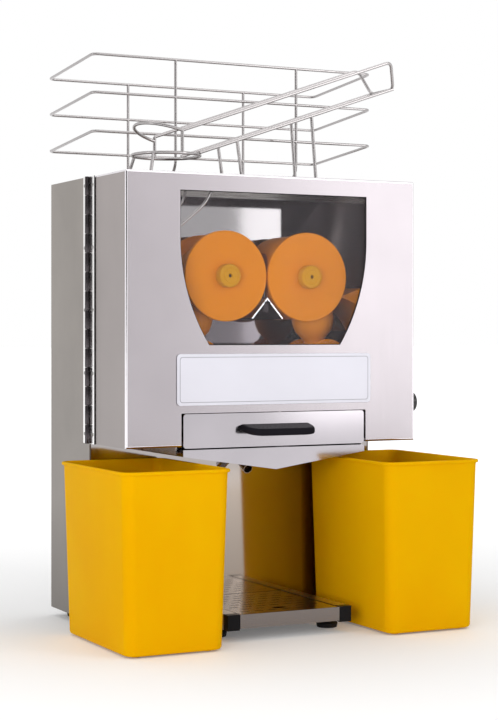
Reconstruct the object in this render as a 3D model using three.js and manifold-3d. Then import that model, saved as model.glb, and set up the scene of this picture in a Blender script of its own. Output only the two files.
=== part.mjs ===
// Automatic orange juicer: stainless column with a box-shaped door, four pressing drums driven by
// equal gears, a wire fruit basket and feed ramp, a filter drawer, a juice collector, a drip tray
// and two peel bins. Millimetres, x to the right, y to the back, z up.
import * as THREE from 'three';
import { mergeVertices } from 'three/addons/utils/BufferGeometryUtils.js';
import Module from 'manifold-3d';

const wasm = await Module();
wasm.setup();

// Clearances and overruns that all pieces share
const seatGap = 0.3;
const slideGap = 0.5;
const overrun = 5;

// Column (the fixed body behind the door)
const bodyWidth = 440;
const bodyTop = 619;
const bodyBottom = 12;
const columnDepth = 150;
const bodySheet = 2;
const bodyFold = 16;

// Door: an open-backed box with a window and a notch for the drawer
const doorDepth = 126;
const doorBottom = 255;
const doorSheet = 2;
const doorGap = 2;
const doorLip = 12;
const notchTop = 299.5;
const notchCorner = 1;
const notchSideGap = 2;
const notchRelief = 2;

// Window in the door's front
const windowTop = 595;
const windowBottom = 389.5;
const windowStraightTo = 532;
const windowSideRadius = 262;
const paneMargin = 10;
const paneThickness = 3;

// Bare name plate
const plateTop = 378;
const plateBottom = 309.5;
const plateCorner = 5;
const plateThickness = 1.5;

// Piano hinge
const hingeLeaf = 1.2;
const hingeLeafWidth = 20;
const knuckleRadius = 3.3;
const knuckleGap = 0.4;
const knuckleCount = 14;
const knuckleSides = 6;
const pinRadius = 1.5;

// Drum train: four equal gears and drums, sized by shares of the body's width further down
const ballFloorGap = 3.7962;
const cupCount = 3;
const drumFaceFront = 25;
const drumFaceThickness = 6;
const drumBack = 109;
const cupFacets = 14;
const cupRings = 8;
const ballFacets = 12;
const ballRings = 8;
const stemFacets = 8;
const lowerFlangeThickness = 5;
const axleRadius = 8;
const axleBack = 148.5;
const axleSides = 16;
const knobRadius = 16;
const knobLength = 13.5;
const knobHoleRadius = 2.2;
const knobHoleDepth = 4;
const knobEdge = 2.5;
const lowerKnobRadius = 13;
const lowerKnobLength = 12;

// Gears, bearings and drive
const gearTeeth = 25;
const gearFront = 134;
const gearThickness = 12;
const gearBacklash = 0.25;
const gearTipRelief = 0.6;
const gearHubLength = 2;
const gearWebDepth = 3;
const bearingFlangeLength = 12;
const bearingBarrelRadius = 15.5;
const bearingBarrelLength = 5;
const bracketFront = 150;
const bracketSheet = 3;
const bracketMargin = 14;
const bracketFoot = 14;
const gearboxDepth = 58;
const gearboxCorner = 10;
const driveAxleBack = 200;
const motorLength = 150;
const motorFins = 3;
const motorFinDepth = 3;
const motorFinGap = 10;
const motorFinPitch = 34;
const motorCapLength = 14;

// Knife, divider and peel wedges between the drums
const knifeThickness = 2;
const knifeEdge = 6;
const knifeRise = 3;
const knifeFront = 34;
const knifeBack = 106;
const dividerSheet = 2;
const dividerBarHalf = 4;
const dividerBarTop = 6;
const dividerBarDepth = 14;
const drumClearance = 2;
const ballClearance = 3;
const wedgeFront = 36;
const wedgeSpan = 48;

// Roof plate over the chamber and the feed hole
const roofTop = 611;
const roofSheet = 2;
const roofFront = 6;
const roofInset = 5;
const roofFlange = 12;
const feedY = 58;
const feedRadius = 46;
const feedCollar = 5;
const feedCollarWall = 1.6;

// Wires
const basketWire = 2;
const rampWire = 2.3;
const guideWire = 2;
const wireBend = 9;

// Fruit basket
const basketFront = 120;
const basketBack = 291;
const basketTilt = 13;
const basketLowRise = 62;
const basketMiddleRise = 115;
const basketTopRise = 167;
const basketFootFront = 136;
const basketFootRise = 18;

// Feed ramp
const rampUpperHalf = 46;
const rampUpperLowRise = 56;
const rampUpperHighRise = 168.5;
const rampLowerLowRise = 29;
const rampLowerHighRise = 133;
const hoopRise = 26;
const rampLowerHalf = 30;
const hoopLift = 13;
const hoopLean = 3;
const rampLegLean = 7;

// Guide wires under the feed hole
const guideInset = 4;

// Peel chutes with the runners
const chuteGap = 2.5;
const chuteInset = 17;
const chuteFront = 14;
const chuteBack = 125;
const chuteBottom = 258;
const chuteInnerTop = 273;
const chuteKneeTop = 284;
const chuteOuterTop = 300;
const chuteSheet = 1.5;
const runnerWidth = 7;
const runnerDrop = 14;

// Latch on the door's right side
const latchY = 40;
const latchZ = 307;
const latchKnobRadius = 14.5;
const latchKnobLength = 22.5;
const latchKnobEdge = 3;
const latchStemRadius = 4;
const latchCamInset = 22;
const latchCamThickness = 3;
const latchCamHalf = 4;
const latchCamReach = 24;
const keeperInset = 26;
const keeperSheet = 2;
const keeperLipFront = 30;
const keeperLipWidth = 8;
const keeperBottom = 315;
const keeperHeight = 20;
const keeperFoot = 10;

// Filter drawer
const drawerPanelBottom = 253;
const drawerPanelSheet = 2;
const drawerPanelGap = 1;
const drawerPanelCorner = 4;
const drawerTrayInset = 8.5;
const drawerFlangeInset = 0.5;
const drawerBack = 118;
const drawerTop = 267;
const drawerBottom = 257.5;
const drawerSheet = 1.5;
const sieveRows = 4;
const sieveColumns = 11;
const sieveSlotLength = 16;
const sieveSlotWidth = 2.5;
const sieveMargin = 9;

// Drawer handle
const handleHalfWidth = 53;
const handleBottom = 275;
const handleReach = 31;
const handleHeight = 8.5;
const handleDrop = 6.5;
const handleCorner = 18;
const handleWall = 3;
const handleTopWall = 2.5;
const handleX = -1;

// Juice collector
const collectorTop = 251;
const collectorEdge = 9;
const collectorLow = 221.5;
const collectorInset = 6.5;
const collectorLipInset = 0.5;
const collectorFront = -0.5;
const collectorBack = 118;
const collectorSheet = 1.5;
const spoutRadius = 7.5;
const spoutWall = 1.5;
const spoutLength = 26;
const spoutSink = 14;
const spoutY = 95;
const spoutLean = 62;

// Base rails, drip tray and feet
const trayHalfWidth = 74.7;
const trayFront = -42.4;
const trayTop = 35.5;
const trayBottom = 17;
const traySheet = 1.5;
const railInner = 75.5;
const railOuter = 93;
const railTop = 36;
const railBottom = 15;
const railWall = 1.6;
const railCap = 12;
const grilleThickness = 1.6;
const grilleInset = 2;
const grilleRows = 8;
const grilleColumns = 6;
const grilleSlotLength = 13;
const grilleSlotWidth = 3;
const grilleMargin = 11;
const grilleLedge = 4;
const fingerHoleLength = 20;
const fingerHoleWidth = 11;
const fingerHoleY = -8;
const footRadius = 15;
const footPad = 7;
const footStemRadius = 7;
const frontFootX = 85;
const frontFootY = 11;
const rearFootSide = 30;
const rearFootInset = 26;

// Peel bins
const binInner = 122;
const binWidth = 135;
const binFront = -95;
const binDepth = 213;
const binHeight = 233;
const binDraft = 6;
const binWall = 2.4;
const binCorner = 15;
const binBead = 3.2;
const binBeadHeight = 4.5;
const binFootHeight = 2;
const binFootRadius = 7;
const binFootInset = 18;

// Rear cover, switch and cable gland
const coverSheet = 2;
const louvreRows = 6;
const louvreColumns = 2;
const louvreLength = 110;
const louvreHeight = 4;
const louvrePitch = 16;
const louvreGapX = 26;
const louvreTop = 560;
const louvreLowTop = 200;
const glandZ = 60;
const glandRadius = 11;
const glandBarrel = 8;
const glandLength = 16;
const glandBore = 4;
const switchY = 200;
const switchDrop = 79;
const switchHoleY = 20;
const switchHoleZ = 28;
const bezelRim = 3.5;
const bezelProud = 2.2;
const bezelDepth = 16;
const bezelWall = 1.4;
const rockerWidth = 15.8;
const rockerRadius = 11.8;
const rockerPivotIn = 4;
const rockerThrow = 8;
const rockerFaceAngle = 33;

// Shares of half the body's width
const halfWidthShares = {
  pitchRadius: 0.28409091,
  notch: 0.62954545,
  windowTop: 0.64545455,
  plate: 0.67045455,
  feed: 0.62272727,
  basketFrame: 0.43181818,
  gland: 0.68181818,
  rampUpperLeft: -0.60818182,
  rampUpperRight: 0.85727273,
  rampLowerLeft: -0.45909091,
  rampLowerRight: 0.91818182,
  rampLegLeft: -0.20454545,
  rampLegRight: 0.31818182,
  guideTopRight: -0.40454545,
  guideBend: -0.44090909,
  guideLow: -0.69090909,
  guideLeft: -0.80909091,
  guideTopLeft: -0.81818182,
};

// Shares of the pitch radius
const pitchShares = {
  lowerAxleOffset: 0.576,
  cup: 0.584,
  ball: 0.48,
  ballStem: 0.24,
  drum: 0.936,
  drumFace: 0.984,
  lowerHub: 0.384,
  lowerFlange: 0.544,
  gearHub: 0.224,
  gearWebInner: 0.32,
  gearWebOuter: 0.768,
  bearingFlange: 0.384,
  gearboxWidth: 1.536,
  gearboxHeight: 1.792,
  motor: 0.704,
  motorCap: 0.608,
  knifeFoot: 0.624,
  dividerTop: 0.46,
  dividerHalfWidth: 0.384,
  dividerSlope: 0.448,
  wedgeReach: 1.152,
  wedgeRise: 0.416,
};

// Shares of the way down from the roof plate to the upper axles
const guideDropShares = { bend: 0.23, low: 0.587, left: 0.444 };

// The chute's knee as a share of the chute's width
const chuteKneeShare = 0.30645161;

// Places worked out from the sizes above
const bodyHalf = bodyWidth / 2;
const pitchRadius = bodyHalf * halfWidthShares.pitchRadius;
const lowerAxleOffset = pitchRadius * pitchShares.lowerAxleOffset;
const cupRadius = pitchRadius * pitchShares.cup;
const ballRadius = pitchRadius * pitchShares.ball;
const ballStemRadius = pitchRadius * pitchShares.ballStem;
const drumRadius = pitchRadius * pitchShares.drum;
const drumFaceRadius = pitchRadius * pitchShares.drumFace;
const lowerHubRadius = pitchRadius * pitchShares.lowerHub;
const lowerFlangeRadius = pitchRadius * pitchShares.lowerFlange;
const gearHubRadius = pitchRadius * pitchShares.gearHub;
const gearWebInner = pitchRadius * pitchShares.gearWebInner;
const gearWebOuter = pitchRadius * pitchShares.gearWebOuter;
const bearingFlangeRadius = pitchRadius * pitchShares.bearingFlange;
const gearboxWidth = pitchRadius * pitchShares.gearboxWidth;
const gearboxHeight = pitchRadius * pitchShares.gearboxHeight;
const motorRadius = pitchRadius * pitchShares.motor;
const motorCapRadius = pitchRadius * pitchShares.motorCap;
const lowerDrop = Math.sqrt(4 * pitchRadius ** 2 - lowerAxleOffset ** 2);
const upperAxleHeight = drawerTop + ballFloorGap + ballRadius + pitchRadius + lowerDrop;
const knifeTop = upperAxleHeight + knifeRise;
const knifeFoot = upperAxleHeight - pitchRadius * pitchShares.knifeFoot;
const dividerTop = upperAxleHeight - pitchRadius * pitchShares.dividerTop;
const dividerHalfWidth = pitchRadius * pitchShares.dividerHalfWidth;
const dividerSlope = pitchRadius * pitchShares.dividerSlope;
const wedgeReach = pitchRadius * pitchShares.wedgeReach;
const wedgeRise = pitchRadius * pitchShares.wedgeRise;
const notchHalfWidth = bodyHalf * halfWidthShares.notch;
const windowHalfTop = bodyHalf * halfWidthShares.windowTop;
const plateHalfWidth = bodyHalf * halfWidthShares.plate;
const roofSide = bodyHalf - roofInset;
const feedX = bodyHalf * halfWidthShares.feed;
const glandX = bodyHalf * halfWidthShares.gland;
const switchZ = bodyTop - switchDrop;
const rearFootX = bodyHalf - rearFootSide;
const chuteInner = notchHalfWidth + chuteGap;
const chuteOuter = bodyHalf - chuteInset;
const chuteKneeX = chuteInner + (chuteOuter - chuteInner) * chuteKneeShare;
const latchCamX = bodyHalf - latchCamInset;
const keeperX = bodyHalf - keeperInset;
const drawerHalfWidth = notchHalfWidth - drawerTrayInset;
const drawerFlangeReach = notchHalfWidth - drawerFlangeInset;
const collectorHalfWidth = notchHalfWidth - collectorInset;
const collectorLipHalf = notchHalfWidth - collectorLipInset;
const columnFront = doorDepth + doorGap;
const columnBack = columnFront + columnDepth;
const sheetBack = columnFront + bodySheet;
const upperAxle = { x: pitchRadius, z: upperAxleHeight };
const lowerAxle = { x: pitchRadius + lowerAxleOffset, z: upperAxleHeight - lowerDrop };
const pressAngle = Math.atan2(-lowerDrop, -lowerAxleOffset);
const drumFaceBack = drumFaceFront + drumFaceThickness;
const cupMiddle = (drumFaceBack + drumBack) / 2;
const hingeX = -bodyHalf - seatGap - knuckleRadius;
const hingeY = doorDepth + doorGap / 2;
const knobBack = drumFaceFront - seatGap;
const roofBottom = roofTop - roofSheet;
const basketHalfWidth = bodyHalf - basketWire;
const basketFrameX = bodyHalf * halfWidthShares.basketFrame;
const basketLevels = [basketLowRise, basketMiddleRise, basketTopRise].map((rise) => bodyTop + rise);
const rampUpperLeft = { x: bodyHalf * halfWidthShares.rampUpperLeft, z: bodyTop + rampUpperLowRise };
const rampUpperRight = { x: bodyHalf * halfWidthShares.rampUpperRight, z: bodyTop + rampUpperHighRise };
const rampLowerLeft = { x: bodyHalf * halfWidthShares.rampLowerLeft, z: bodyTop + rampLowerLowRise };
const rampLowerRight = { x: bodyHalf * halfWidthShares.rampLowerRight, z: bodyTop + rampLowerHighRise };
const rampLegPlaces = [bodyHalf * halfWidthShares.rampLegLeft, bodyHalf * halfWidthShares.rampLegRight];
const hoopHeight = bodyTop + hoopRise;
const guideHeight = (share) => roofBottom - (roofBottom - upperAxleHeight) * share;

// Materials
const finish = (color, metalness, roughness, extra = {}) =>
  new THREE.MeshStandardMaterial({ color, metalness, roughness, ...extra });
const stainless = () => finish(0xc4c1bd, 0.9, 0.3);
const brightSteel = () => finish(0xd8d8da, 1, 0.15);
const darkPlastic = () => finish(0x1c1b1d, 0, 0.4);
const orangePlastic = () => finish(0xd98a32, 0, 0.45);
const yellowPlastic = () => finish(0xf2b705, 0, 0.4);
const gearPlastic = () => finish(0xe6e2d6, 0, 0.5);
const castAluminium = () => finish(0x9b9da0, 0.7, 0.5);

// Solids: three.js geometry in, closed solid out
function solid(geometry) {
  const bare = geometry.clone();
  bare.deleteAttribute('normal');
  bare.deleteAttribute('uv');
  const merged = mergeVertices(bare, 1e-4);
  const index = merged.index.array;
  const triangles = [];
  for (let i = 0; i < index.length; i += 3) {
    const [a, b, c] = [index[i], index[i + 1], index[i + 2]];
    if (a !== b && b !== c && a !== c) triangles.push(a, b, c);
  }
  return new wasm.Manifold(new wasm.Mesh({
    numProp: 3,
    vertProperties: new Float32Array(merged.attributes.position.array),
    triVerts: new Uint32Array(triangles),
  }));
}

const join = (...parts) => parts.reduce((sum, part) => sum.add(part));
const cut = (base, ...cutters) => cutters.reduce((rest, cutter) => rest.subtract(cutter), base);

function geometryOf(manifold) {
  const mesh = manifold.getMesh();
  const geometry = new THREE.BufferGeometry();
  geometry.setAttribute('position', new THREE.BufferAttribute(mesh.vertProperties, 3));
  geometry.setIndex(new THREE.BufferAttribute(mesh.triVerts, 1));
  geometry.computeVertexNormals();
  return geometry;
}

// Boxes, cylinders and extrusions placed by their limits
function box(x0, x1, y0, y1, z0, z1) {
  const geometry = new THREE.BoxGeometry(x1 - x0, y1 - y0, z1 - z0);
  return solid(geometry.translate((x0 + x1) / 2, (y0 + y1) / 2, (z0 + z1) / 2));
}

function cylinderY(radius, x, z, y0, y1, sides = 32, frontRadius = radius) {
  const geometry = new THREE.CylinderGeometry(radius, frontRadius, y1 - y0, sides);
  return solid(geometry.translate(x, (y0 + y1) / 2, z));
}

function cylinderZ(radius, x, y, z0, z1, sides = 32, bottomRadius = radius) {
  const geometry = new THREE.CylinderGeometry(radius, bottomRadius, z1 - z0, sides);
  return solid(geometry.rotateX(Math.PI / 2).translate(x, y, (z0 + z1) / 2));
}

function cylinderX(radius, y, z, x0, x1, sides = 24, leftRadius = radius) {
  const geometry = new THREE.CylinderGeometry(radius, leftRadius, x1 - x0, sides);
  return solid(geometry.rotateZ(-Math.PI / 2).translate((x0 + x1) / 2, y, z));
}

const shapeOf = (points) => new THREE.Shape(points.map(([a, b]) => new THREE.Vector2(a, b)));

function extrude(shape, length, curveSegments = 3) {
  return new THREE.ExtrudeGeometry(shape, { depth: length, bevelEnabled: false, curveSegments });
}

// A shape drawn in x and z, carried along y
function extrudeY(shape, y0, y1, curveSegments) {
  const geometry = extrude(shape, y1 - y0, curveSegments);
  return solid(geometry.rotateX(Math.PI / 2).translate(0, y1, 0));
}

// A shape drawn in x and y, carried up z
function extrudeZ(shape, z0, z1, curveSegments) {
  return solid(extrude(shape, z1 - z0, curveSegments).translate(0, 0, z0));
}

// A shape drawn in y and z, carried along x
function extrudeX(shape, x0, x1, curveSegments) {
  const turn = new THREE.Matrix4().makeBasis(
    new THREE.Vector3(0, 1, 0), new THREE.Vector3(0, 0, 1), new THREE.Vector3(1, 0, 0));
  return solid(extrude(shape, x1 - x0, curveSegments).applyMatrix4(turn).translate(x0, 0, 0));
}

function roundedRectangle(x0, x1, y0, y1, r) {
  const shape = new THREE.Shape();
  shape.moveTo(x0 + r, y0);
  shape.lineTo(x1 - r, y0);
  shape.absarc(x1 - r, y0 + r, r, -Math.PI / 2, 0);
  shape.lineTo(x1, y1 - r);
  shape.absarc(x1 - r, y1 - r, r, 0, Math.PI / 2);
  shape.lineTo(x0 + r, y1);
  shape.absarc(x0 + r, y1 - r, r, Math.PI / 2, Math.PI);
  shape.lineTo(x0, y0 + r);
  shape.absarc(x0 + r, y0 + r, r, Math.PI, 1.5 * Math.PI);
  return shape;
}

// A profile of radius and place along y, turned about the y axis
function turnedY(profile, x, z, sides = 32) {
  const points = profile.map(([r, y]) => new THREE.Vector2(r, y));
  return solid(new THREE.LatheGeometry(points, sides).translate(x, 0, z));
}

// Wires: a round section carried along a path of points, with one ring at each point
class WirePath extends THREE.Curve {
  constructor(points) {
    super();
    this.points = points;
  }

  getPoint(t) {
    const place = t * (this.points.length - 1);
    const i = Math.min(Math.floor(place), this.points.length - 2);
    return this.points[i].clone().lerp(this.points[i + 1], place - i);
  }

  getPointAt(u) {
    return this.getPoint(u);
  }

  getSpacedPoints(divisions) {
    return Array.from({ length: divisions + 1 }, (_, i) => this.getPoint(i / divisions));
  }

  getTangentAt(u) {
    const last = this.points.length - 1;
    const i = Math.round(u * last);
    const before = this.points[i].clone().sub(this.points[Math.max(i - 1, 0)]).normalize();
    const after = this.points[Math.min(i + 1, last)].clone().sub(this.points[i]).normalize();
    return before.add(after).normalize();
  }
}

function wire(points, radius, sides = 6) {
  const path = new WirePath(points);
  const section = new THREE.Shape();
  for (let i = 0; i < sides; i += 1) {
    const angle = (2 * Math.PI * i) / sides;
    const place = [radius * Math.cos(angle), radius * Math.sin(angle)];
    if (i === 0) section.moveTo(...place);
    else section.lineTo(...place);
  }
  return solid(new THREE.ExtrudeGeometry(section, {
    steps: points.length - 1, extrudePath: path, bevelEnabled: false,
  }));
}

// Rounds the inner corners of a path of points
function bent(corners, radius, steps = 2) {
  const points = [corners[0]];
  for (let i = 1; i < corners.length - 1; i += 1) {
    const corner = corners[i];
    const towards = (other) => {
      const way = other.clone().sub(corner);
      return corner.clone().add(way.setLength(Math.min(radius, way.length() / 2)));
    };
    const curve = new THREE.QuadraticBezierCurve3(
      towards(corners[i - 1]), corner, towards(corners[i + 1]));
    points.push(...curve.getPoints(steps));
  }
  points.push(corners[corners.length - 1]);
  return points;
}

const at = (x, y, z) => new THREE.Vector3(x, y, z);

// Column, front sheet, rear cover
function columnShell() {
  const outer = box(-bodyHalf, bodyHalf, columnFront, columnBack, bodyBottom, bodyTop);
  const inner = box(
    -bodyHalf + bodySheet, bodyHalf - bodySheet, columnFront - overrun, columnBack + overrun,
    bodyBottom + bodySheet, bodyTop - bodySheet);
  const switchHole = box(
    bodyHalf - overrun, bodyHalf + overrun, switchY - switchHoleY / 2, switchY + switchHoleY / 2,
    switchZ - switchHoleZ / 2, switchZ + switchHoleZ / 2);
  return cut(outer, inner, switchHole);
}

const sheetHalf = bodyHalf - bodySheet - seatGap;
const sheetBottom = bodyBottom + bodySheet + seatGap;
const sheetTop = bodyTop - bodySheet - seatGap;

const axles = [
  { name: 'upper_left', x: -upperAxle.x, z: upperAxle.z },
  { name: 'upper_right', x: upperAxle.x, z: upperAxle.z },
  { name: 'lower_left', x: -lowerAxle.x, z: lowerAxle.z },
  { name: 'lower_right', x: lowerAxle.x, z: lowerAxle.z },
];

function frontSheet() {
  const panel = box(-sheetHalf, sheetHalf, columnFront, sheetBack, sheetBottom, sheetTop);
  const folds = [-1, 1].map((side) => box(
    side < 0 ? -sheetHalf : sheetHalf - bodySheet, side < 0 ? -sheetHalf + bodySheet : sheetHalf,
    columnFront, sheetBack + bodyFold, sheetBottom, sheetTop));
  const holes = axles.map(({ x, z }) => cylinderY(
    bearingBarrelRadius + seatGap, x, z, columnFront - overrun, sheetBack + overrun, 20));
  return cut(join(panel, ...folds), ...holes);
}

function louvreBlock(top, cover) {
  const across = louvreLength + louvreGapX;
  let result = cover;
  for (let column = 0; column < louvreColumns; column += 1) {
    const middle = (column - (louvreColumns - 1) / 2) * across;
    for (let row = 0; row < louvreRows; row += 1) {
      const z = top - row * louvrePitch;
      result = result.subtract(box(
        middle - louvreLength / 2, middle + louvreLength / 2,
        columnBack - coverSheet - overrun, columnBack + overrun, z - louvreHeight, z));
    }
  }
  return result;
}

function rearCover() {
  const panel = box(-sheetHalf, sheetHalf, columnBack - coverSheet, columnBack, sheetBottom, sheetTop);
  const hole = cylinderY(
    glandBarrel + seatGap, glandX, glandZ, columnBack - coverSheet - overrun, columnBack + overrun, 24);
  return cut(louvreBlock(louvreLowTop, louvreBlock(louvreTop, panel)), hole);
}

function cableGland() {
  const back = columnBack + seatGap;
  const inside = columnBack - coverSheet - glandBarrel;
  return turnedY([
    [glandBore, inside], [glandBarrel, inside], [glandBarrel, back], [glandRadius, back],
    [glandRadius, back + glandLength / 2], [glandBarrel, back + glandLength],
    [glandBore, back + glandLength], [glandBore, inside],
  ], glandX, glandZ, 16);
}

// Roof plate with the feed hole; its right edge leans in to let the door swing past
function roofPlate() {
  const back = columnFront - seatGap;
  const swing = bodyWidth - doorSheet - (hingeX + bodyHalf) - slideGap;
  const rightFront = Math.sqrt(swing ** 2 - (hingeY - roofFront) ** 2) + hingeX - slideGap;
  const outline = shapeOf([
    [-roofSide, roofFront], [rightFront, roofFront], [roofSide - bodySheet, back], [-roofSide, back],
  ]);
  const plate = extrudeZ(outline, roofBottom, roofTop);
  const flange = box(
    -roofSide, roofSide - bodySheet, back - roofSheet, back, roofBottom - roofFlange, roofTop);
  const collar = cylinderZ(feedRadius + feedCollarWall, -feedX, feedY, roofBottom, roofTop + feedCollar, 32);
  const hole = cylinderZ(feedRadius, -feedX, feedY, roofBottom - overrun, roofTop + feedCollar + overrun, 32);
  return cut(join(plate, flange, collar), hole);
}

// Door
function windowShape() {
  const drop = windowStraightTo - windowBottom;
  const reach = Math.asin(drop / windowSideRadius);
  const centre = windowHalfTop - windowSideRadius;
  const halfBottom = centre + windowSideRadius * Math.cos(reach);
  const shape = new THREE.Shape();
  shape.moveTo(-halfBottom, windowBottom);
  shape.lineTo(halfBottom, windowBottom);
  shape.absarc(centre, windowStraightTo, windowSideRadius, -reach, 0);
  shape.lineTo(windowHalfTop, windowTop);
  shape.lineTo(-windowHalfTop, windowTop);
  shape.absarc(-centre, windowStraightTo, windowSideRadius, Math.PI, Math.PI + reach);
  return shape;
}

function doorShell() {
  const outer = box(-bodyHalf, bodyHalf, 0, doorDepth, doorBottom, bodyTop);
  const inner = box(
    -bodyHalf + doorSheet, bodyHalf - doorSheet, doorSheet, doorDepth + overrun,
    doorBottom + doorSheet, bodyTop - doorSheet);
  const topOpening = box(
    -bodyHalf + doorLip, bodyHalf - doorLip, doorLip, doorDepth + overrun,
    bodyTop - doorSheet - overrun, bodyTop + overrun);
  const bottomOpening = box(
    -bodyHalf + doorSheet, bodyHalf - doorSheet, doorLip, doorDepth + overrun,
    doorBottom - overrun, doorBottom + doorSheet + overrun);
  const notchHalf = notchHalfWidth + notchSideGap;
  const relief = box(
    -notchHalf - notchRelief, notchHalf + notchRelief, doorSheet, doorLip + overrun,
    doorBottom - overrun, doorBottom + doorSheet + overrun);
  const notch = extrudeY(roundedRectangle(
    -notchHalf, notchHalf, doorBottom - notchCorner - overrun, notchTop, notchCorner),
  -overrun, doorLip + overrun);
  const window = extrudeY(windowShape(), -overrun, doorSheet + overrun, 6);
  const latchHole = cylinderX(
    latchStemRadius + seatGap, latchY, latchZ, bodyHalf - overrun, bodyHalf + overrun, 16);
  return cut(outer, inner, topOpening, bottomOpening, relief, notch, window, latchHole);
}

function windowPane() {
  const half = windowHalfTop + paneMargin;
  const front = doorSheet + seatGap;
  return box(-half, half, front, front + paneThickness, windowBottom - paneMargin, windowTop + paneMargin);
}

function namePlate() {
  const shape = roundedRectangle(-plateHalfWidth, plateHalfWidth, plateBottom, plateTop, plateCorner);
  return extrudeY(shape, -seatGap - plateThickness, -seatGap);
}

// Piano hinge: knuckles take turns along the pin
function hingeHalf(ofDoor) {
  const pitch = (bodyTop - doorBottom) / knuckleCount;
  const leafInside = -bodyHalf - seatGap;
  const near = ofDoor ? hingeY - seatGap : hingeY + seatGap;
  const far = ofDoor ? hingeY - hingeLeafWidth : hingeY + hingeLeafWidth;
  const edge = ofDoor ? hingeY - knuckleRadius - knuckleGap : hingeY + knuckleRadius + knuckleGap;
  const leaf = box(
    leafInside - hingeLeaf, leafInside, Math.min(edge, far), Math.max(edge, far), doorBottom, bodyTop);
  const parts = [leaf];
  for (let i = ofDoor ? 0 : 1; i < knuckleCount; i += 2) {
    const z0 = doorBottom + i * pitch + knuckleGap / 2;
    const z1 = z0 + pitch - knuckleGap;
    parts.push(cylinderZ(knuckleRadius, hingeX, hingeY, z0, z1, knuckleSides));
    parts.push(box(
      leafInside - hingeLeaf, leafInside, Math.min(near, far), Math.max(near, far), z0, z1));
  }
  const bore = cylinderZ(
    pinRadius + seatGap, hingeX, hingeY, doorBottom - overrun, bodyTop + overrun, knuckleSides);
  return cut(join(...parts), bore);
}

function hingePin() {
  return cylinderZ(pinRadius, hingeX, hingeY, doorBottom, bodyTop, knuckleSides);
}

// Drums. Angles are seen from the front, from the right-hand side and turning left
const polar = (axle, radius, angle) => [axle.x + radius * Math.cos(angle), axle.z + radius * Math.sin(angle)];

function ballAt(radius, x, z, wide, high) {
  return solid(new THREE.SphereGeometry(radius, wide, high).translate(x, cupMiddle, z));
}

// Cups of the left drum start at the nip, and the right drum mirrors it
const cupAngles = (side) => Array.from({ length: cupCount }, (_, i) => {
  const angle = (2 * Math.PI * i) / cupCount;
  return side < 0 ? angle : Math.PI - angle;
});

// The cup that is just past the press meets a ball of the lower drum there
function ballAngles(side) {
  const passed = -(2 * Math.PI) / cupCount;
  const first = pressAngle + Math.PI + (pressAngle - passed);
  return Array.from({ length: cupCount }, (_, i) => {
    const angle = first + (2 * Math.PI * i) / cupCount;
    return side < 0 ? angle : Math.PI - angle;
  });
}

function upperDrum(side) {
  const axle = { x: side * upperAxle.x, z: upperAxle.z };
  const face = cylinderY(drumFaceRadius, axle.x, axle.z, drumFaceFront, drumFaceBack, 40);
  const drum = cylinderY(drumRadius, axle.x, axle.z, drumFaceBack - seatGap, drumBack, 30);
  const cups = cupAngles(side).map((angle) => ballAt(
    cupRadius, ...polar(axle, pitchRadius, angle), cupFacets, cupRings));
  const bore = cylinderY(axleRadius + seatGap, axle.x, axle.z, 0, drumBack + overrun, axleSides);
  return cut(join(face, drum), ...cups, bore);
}

function lowerDrum(side) {
  const axle = { x: side * lowerAxle.x, z: lowerAxle.z };
  const parts = [
    cylinderY(lowerHubRadius, axle.x, axle.z, drumFaceBack, drumBack, 16),
    cylinderY(lowerFlangeRadius, axle.x, axle.z, drumFaceBack, drumFaceBack + lowerFlangeThickness, 20),
    cylinderY(lowerFlangeRadius, axle.x, axle.z, drumBack - lowerFlangeThickness, drumBack, 20),
  ];
  for (const angle of ballAngles(side)) {
    parts.push(ballAt(ballRadius, ...polar(axle, pitchRadius, angle), ballFacets, ballRings));
    const stem = new THREE.CylinderGeometry(ballStemRadius, ballStemRadius, pitchRadius, stemFacets);
    stem.rotateZ(Math.PI / 2).translate(pitchRadius / 2, 0, 0).rotateY(-angle);
    parts.push(solid(stem.translate(axle.x, cupMiddle, axle.z)));
  }
  const bore = cylinderY(axleRadius + seatGap, axle.x, axle.z, 0, drumBack + overrun, axleSides);
  return cut(join(...parts), bore);
}

function drumKnob(axle, radius, length, back) {
  const front = back - length;
  return turnedY([
    [0, front + knobHoleDepth], [knobHoleRadius, front + knobHoleDepth], [knobHoleRadius, front],
    [radius - knobEdge, front], [radius, front + knobEdge], [radius, back], [0, back],
  ], axle.x, axle.z, 16);
}

function drumAxle(axle, front, back) {
  return cylinderY(axleRadius, axle.x, axle.z, front, back, axleSides);
}

function bearing(axle) {
  const back = columnFront - seatGap;
  const front = back - bearingFlangeLength;
  const end = sheetBack + bearingBarrelLength - bodySheet;
  const bore = axleRadius + seatGap;
  return turnedY([
    [bore, front], [bearingBarrelRadius, front], [bearingFlangeRadius, back - bearingFlangeLength / 2],
    [bearingFlangeRadius, back], [bearingBarrelRadius, back], [bearingBarrelRadius, end],
    [bore, end], [bore, front],
  ], axle.x, axle.z, axleSides);
}

// Gears: straight-flanked teeth through the involute's root, pitch and tip
const toothPitch = (2 * Math.PI) / gearTeeth;

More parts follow.
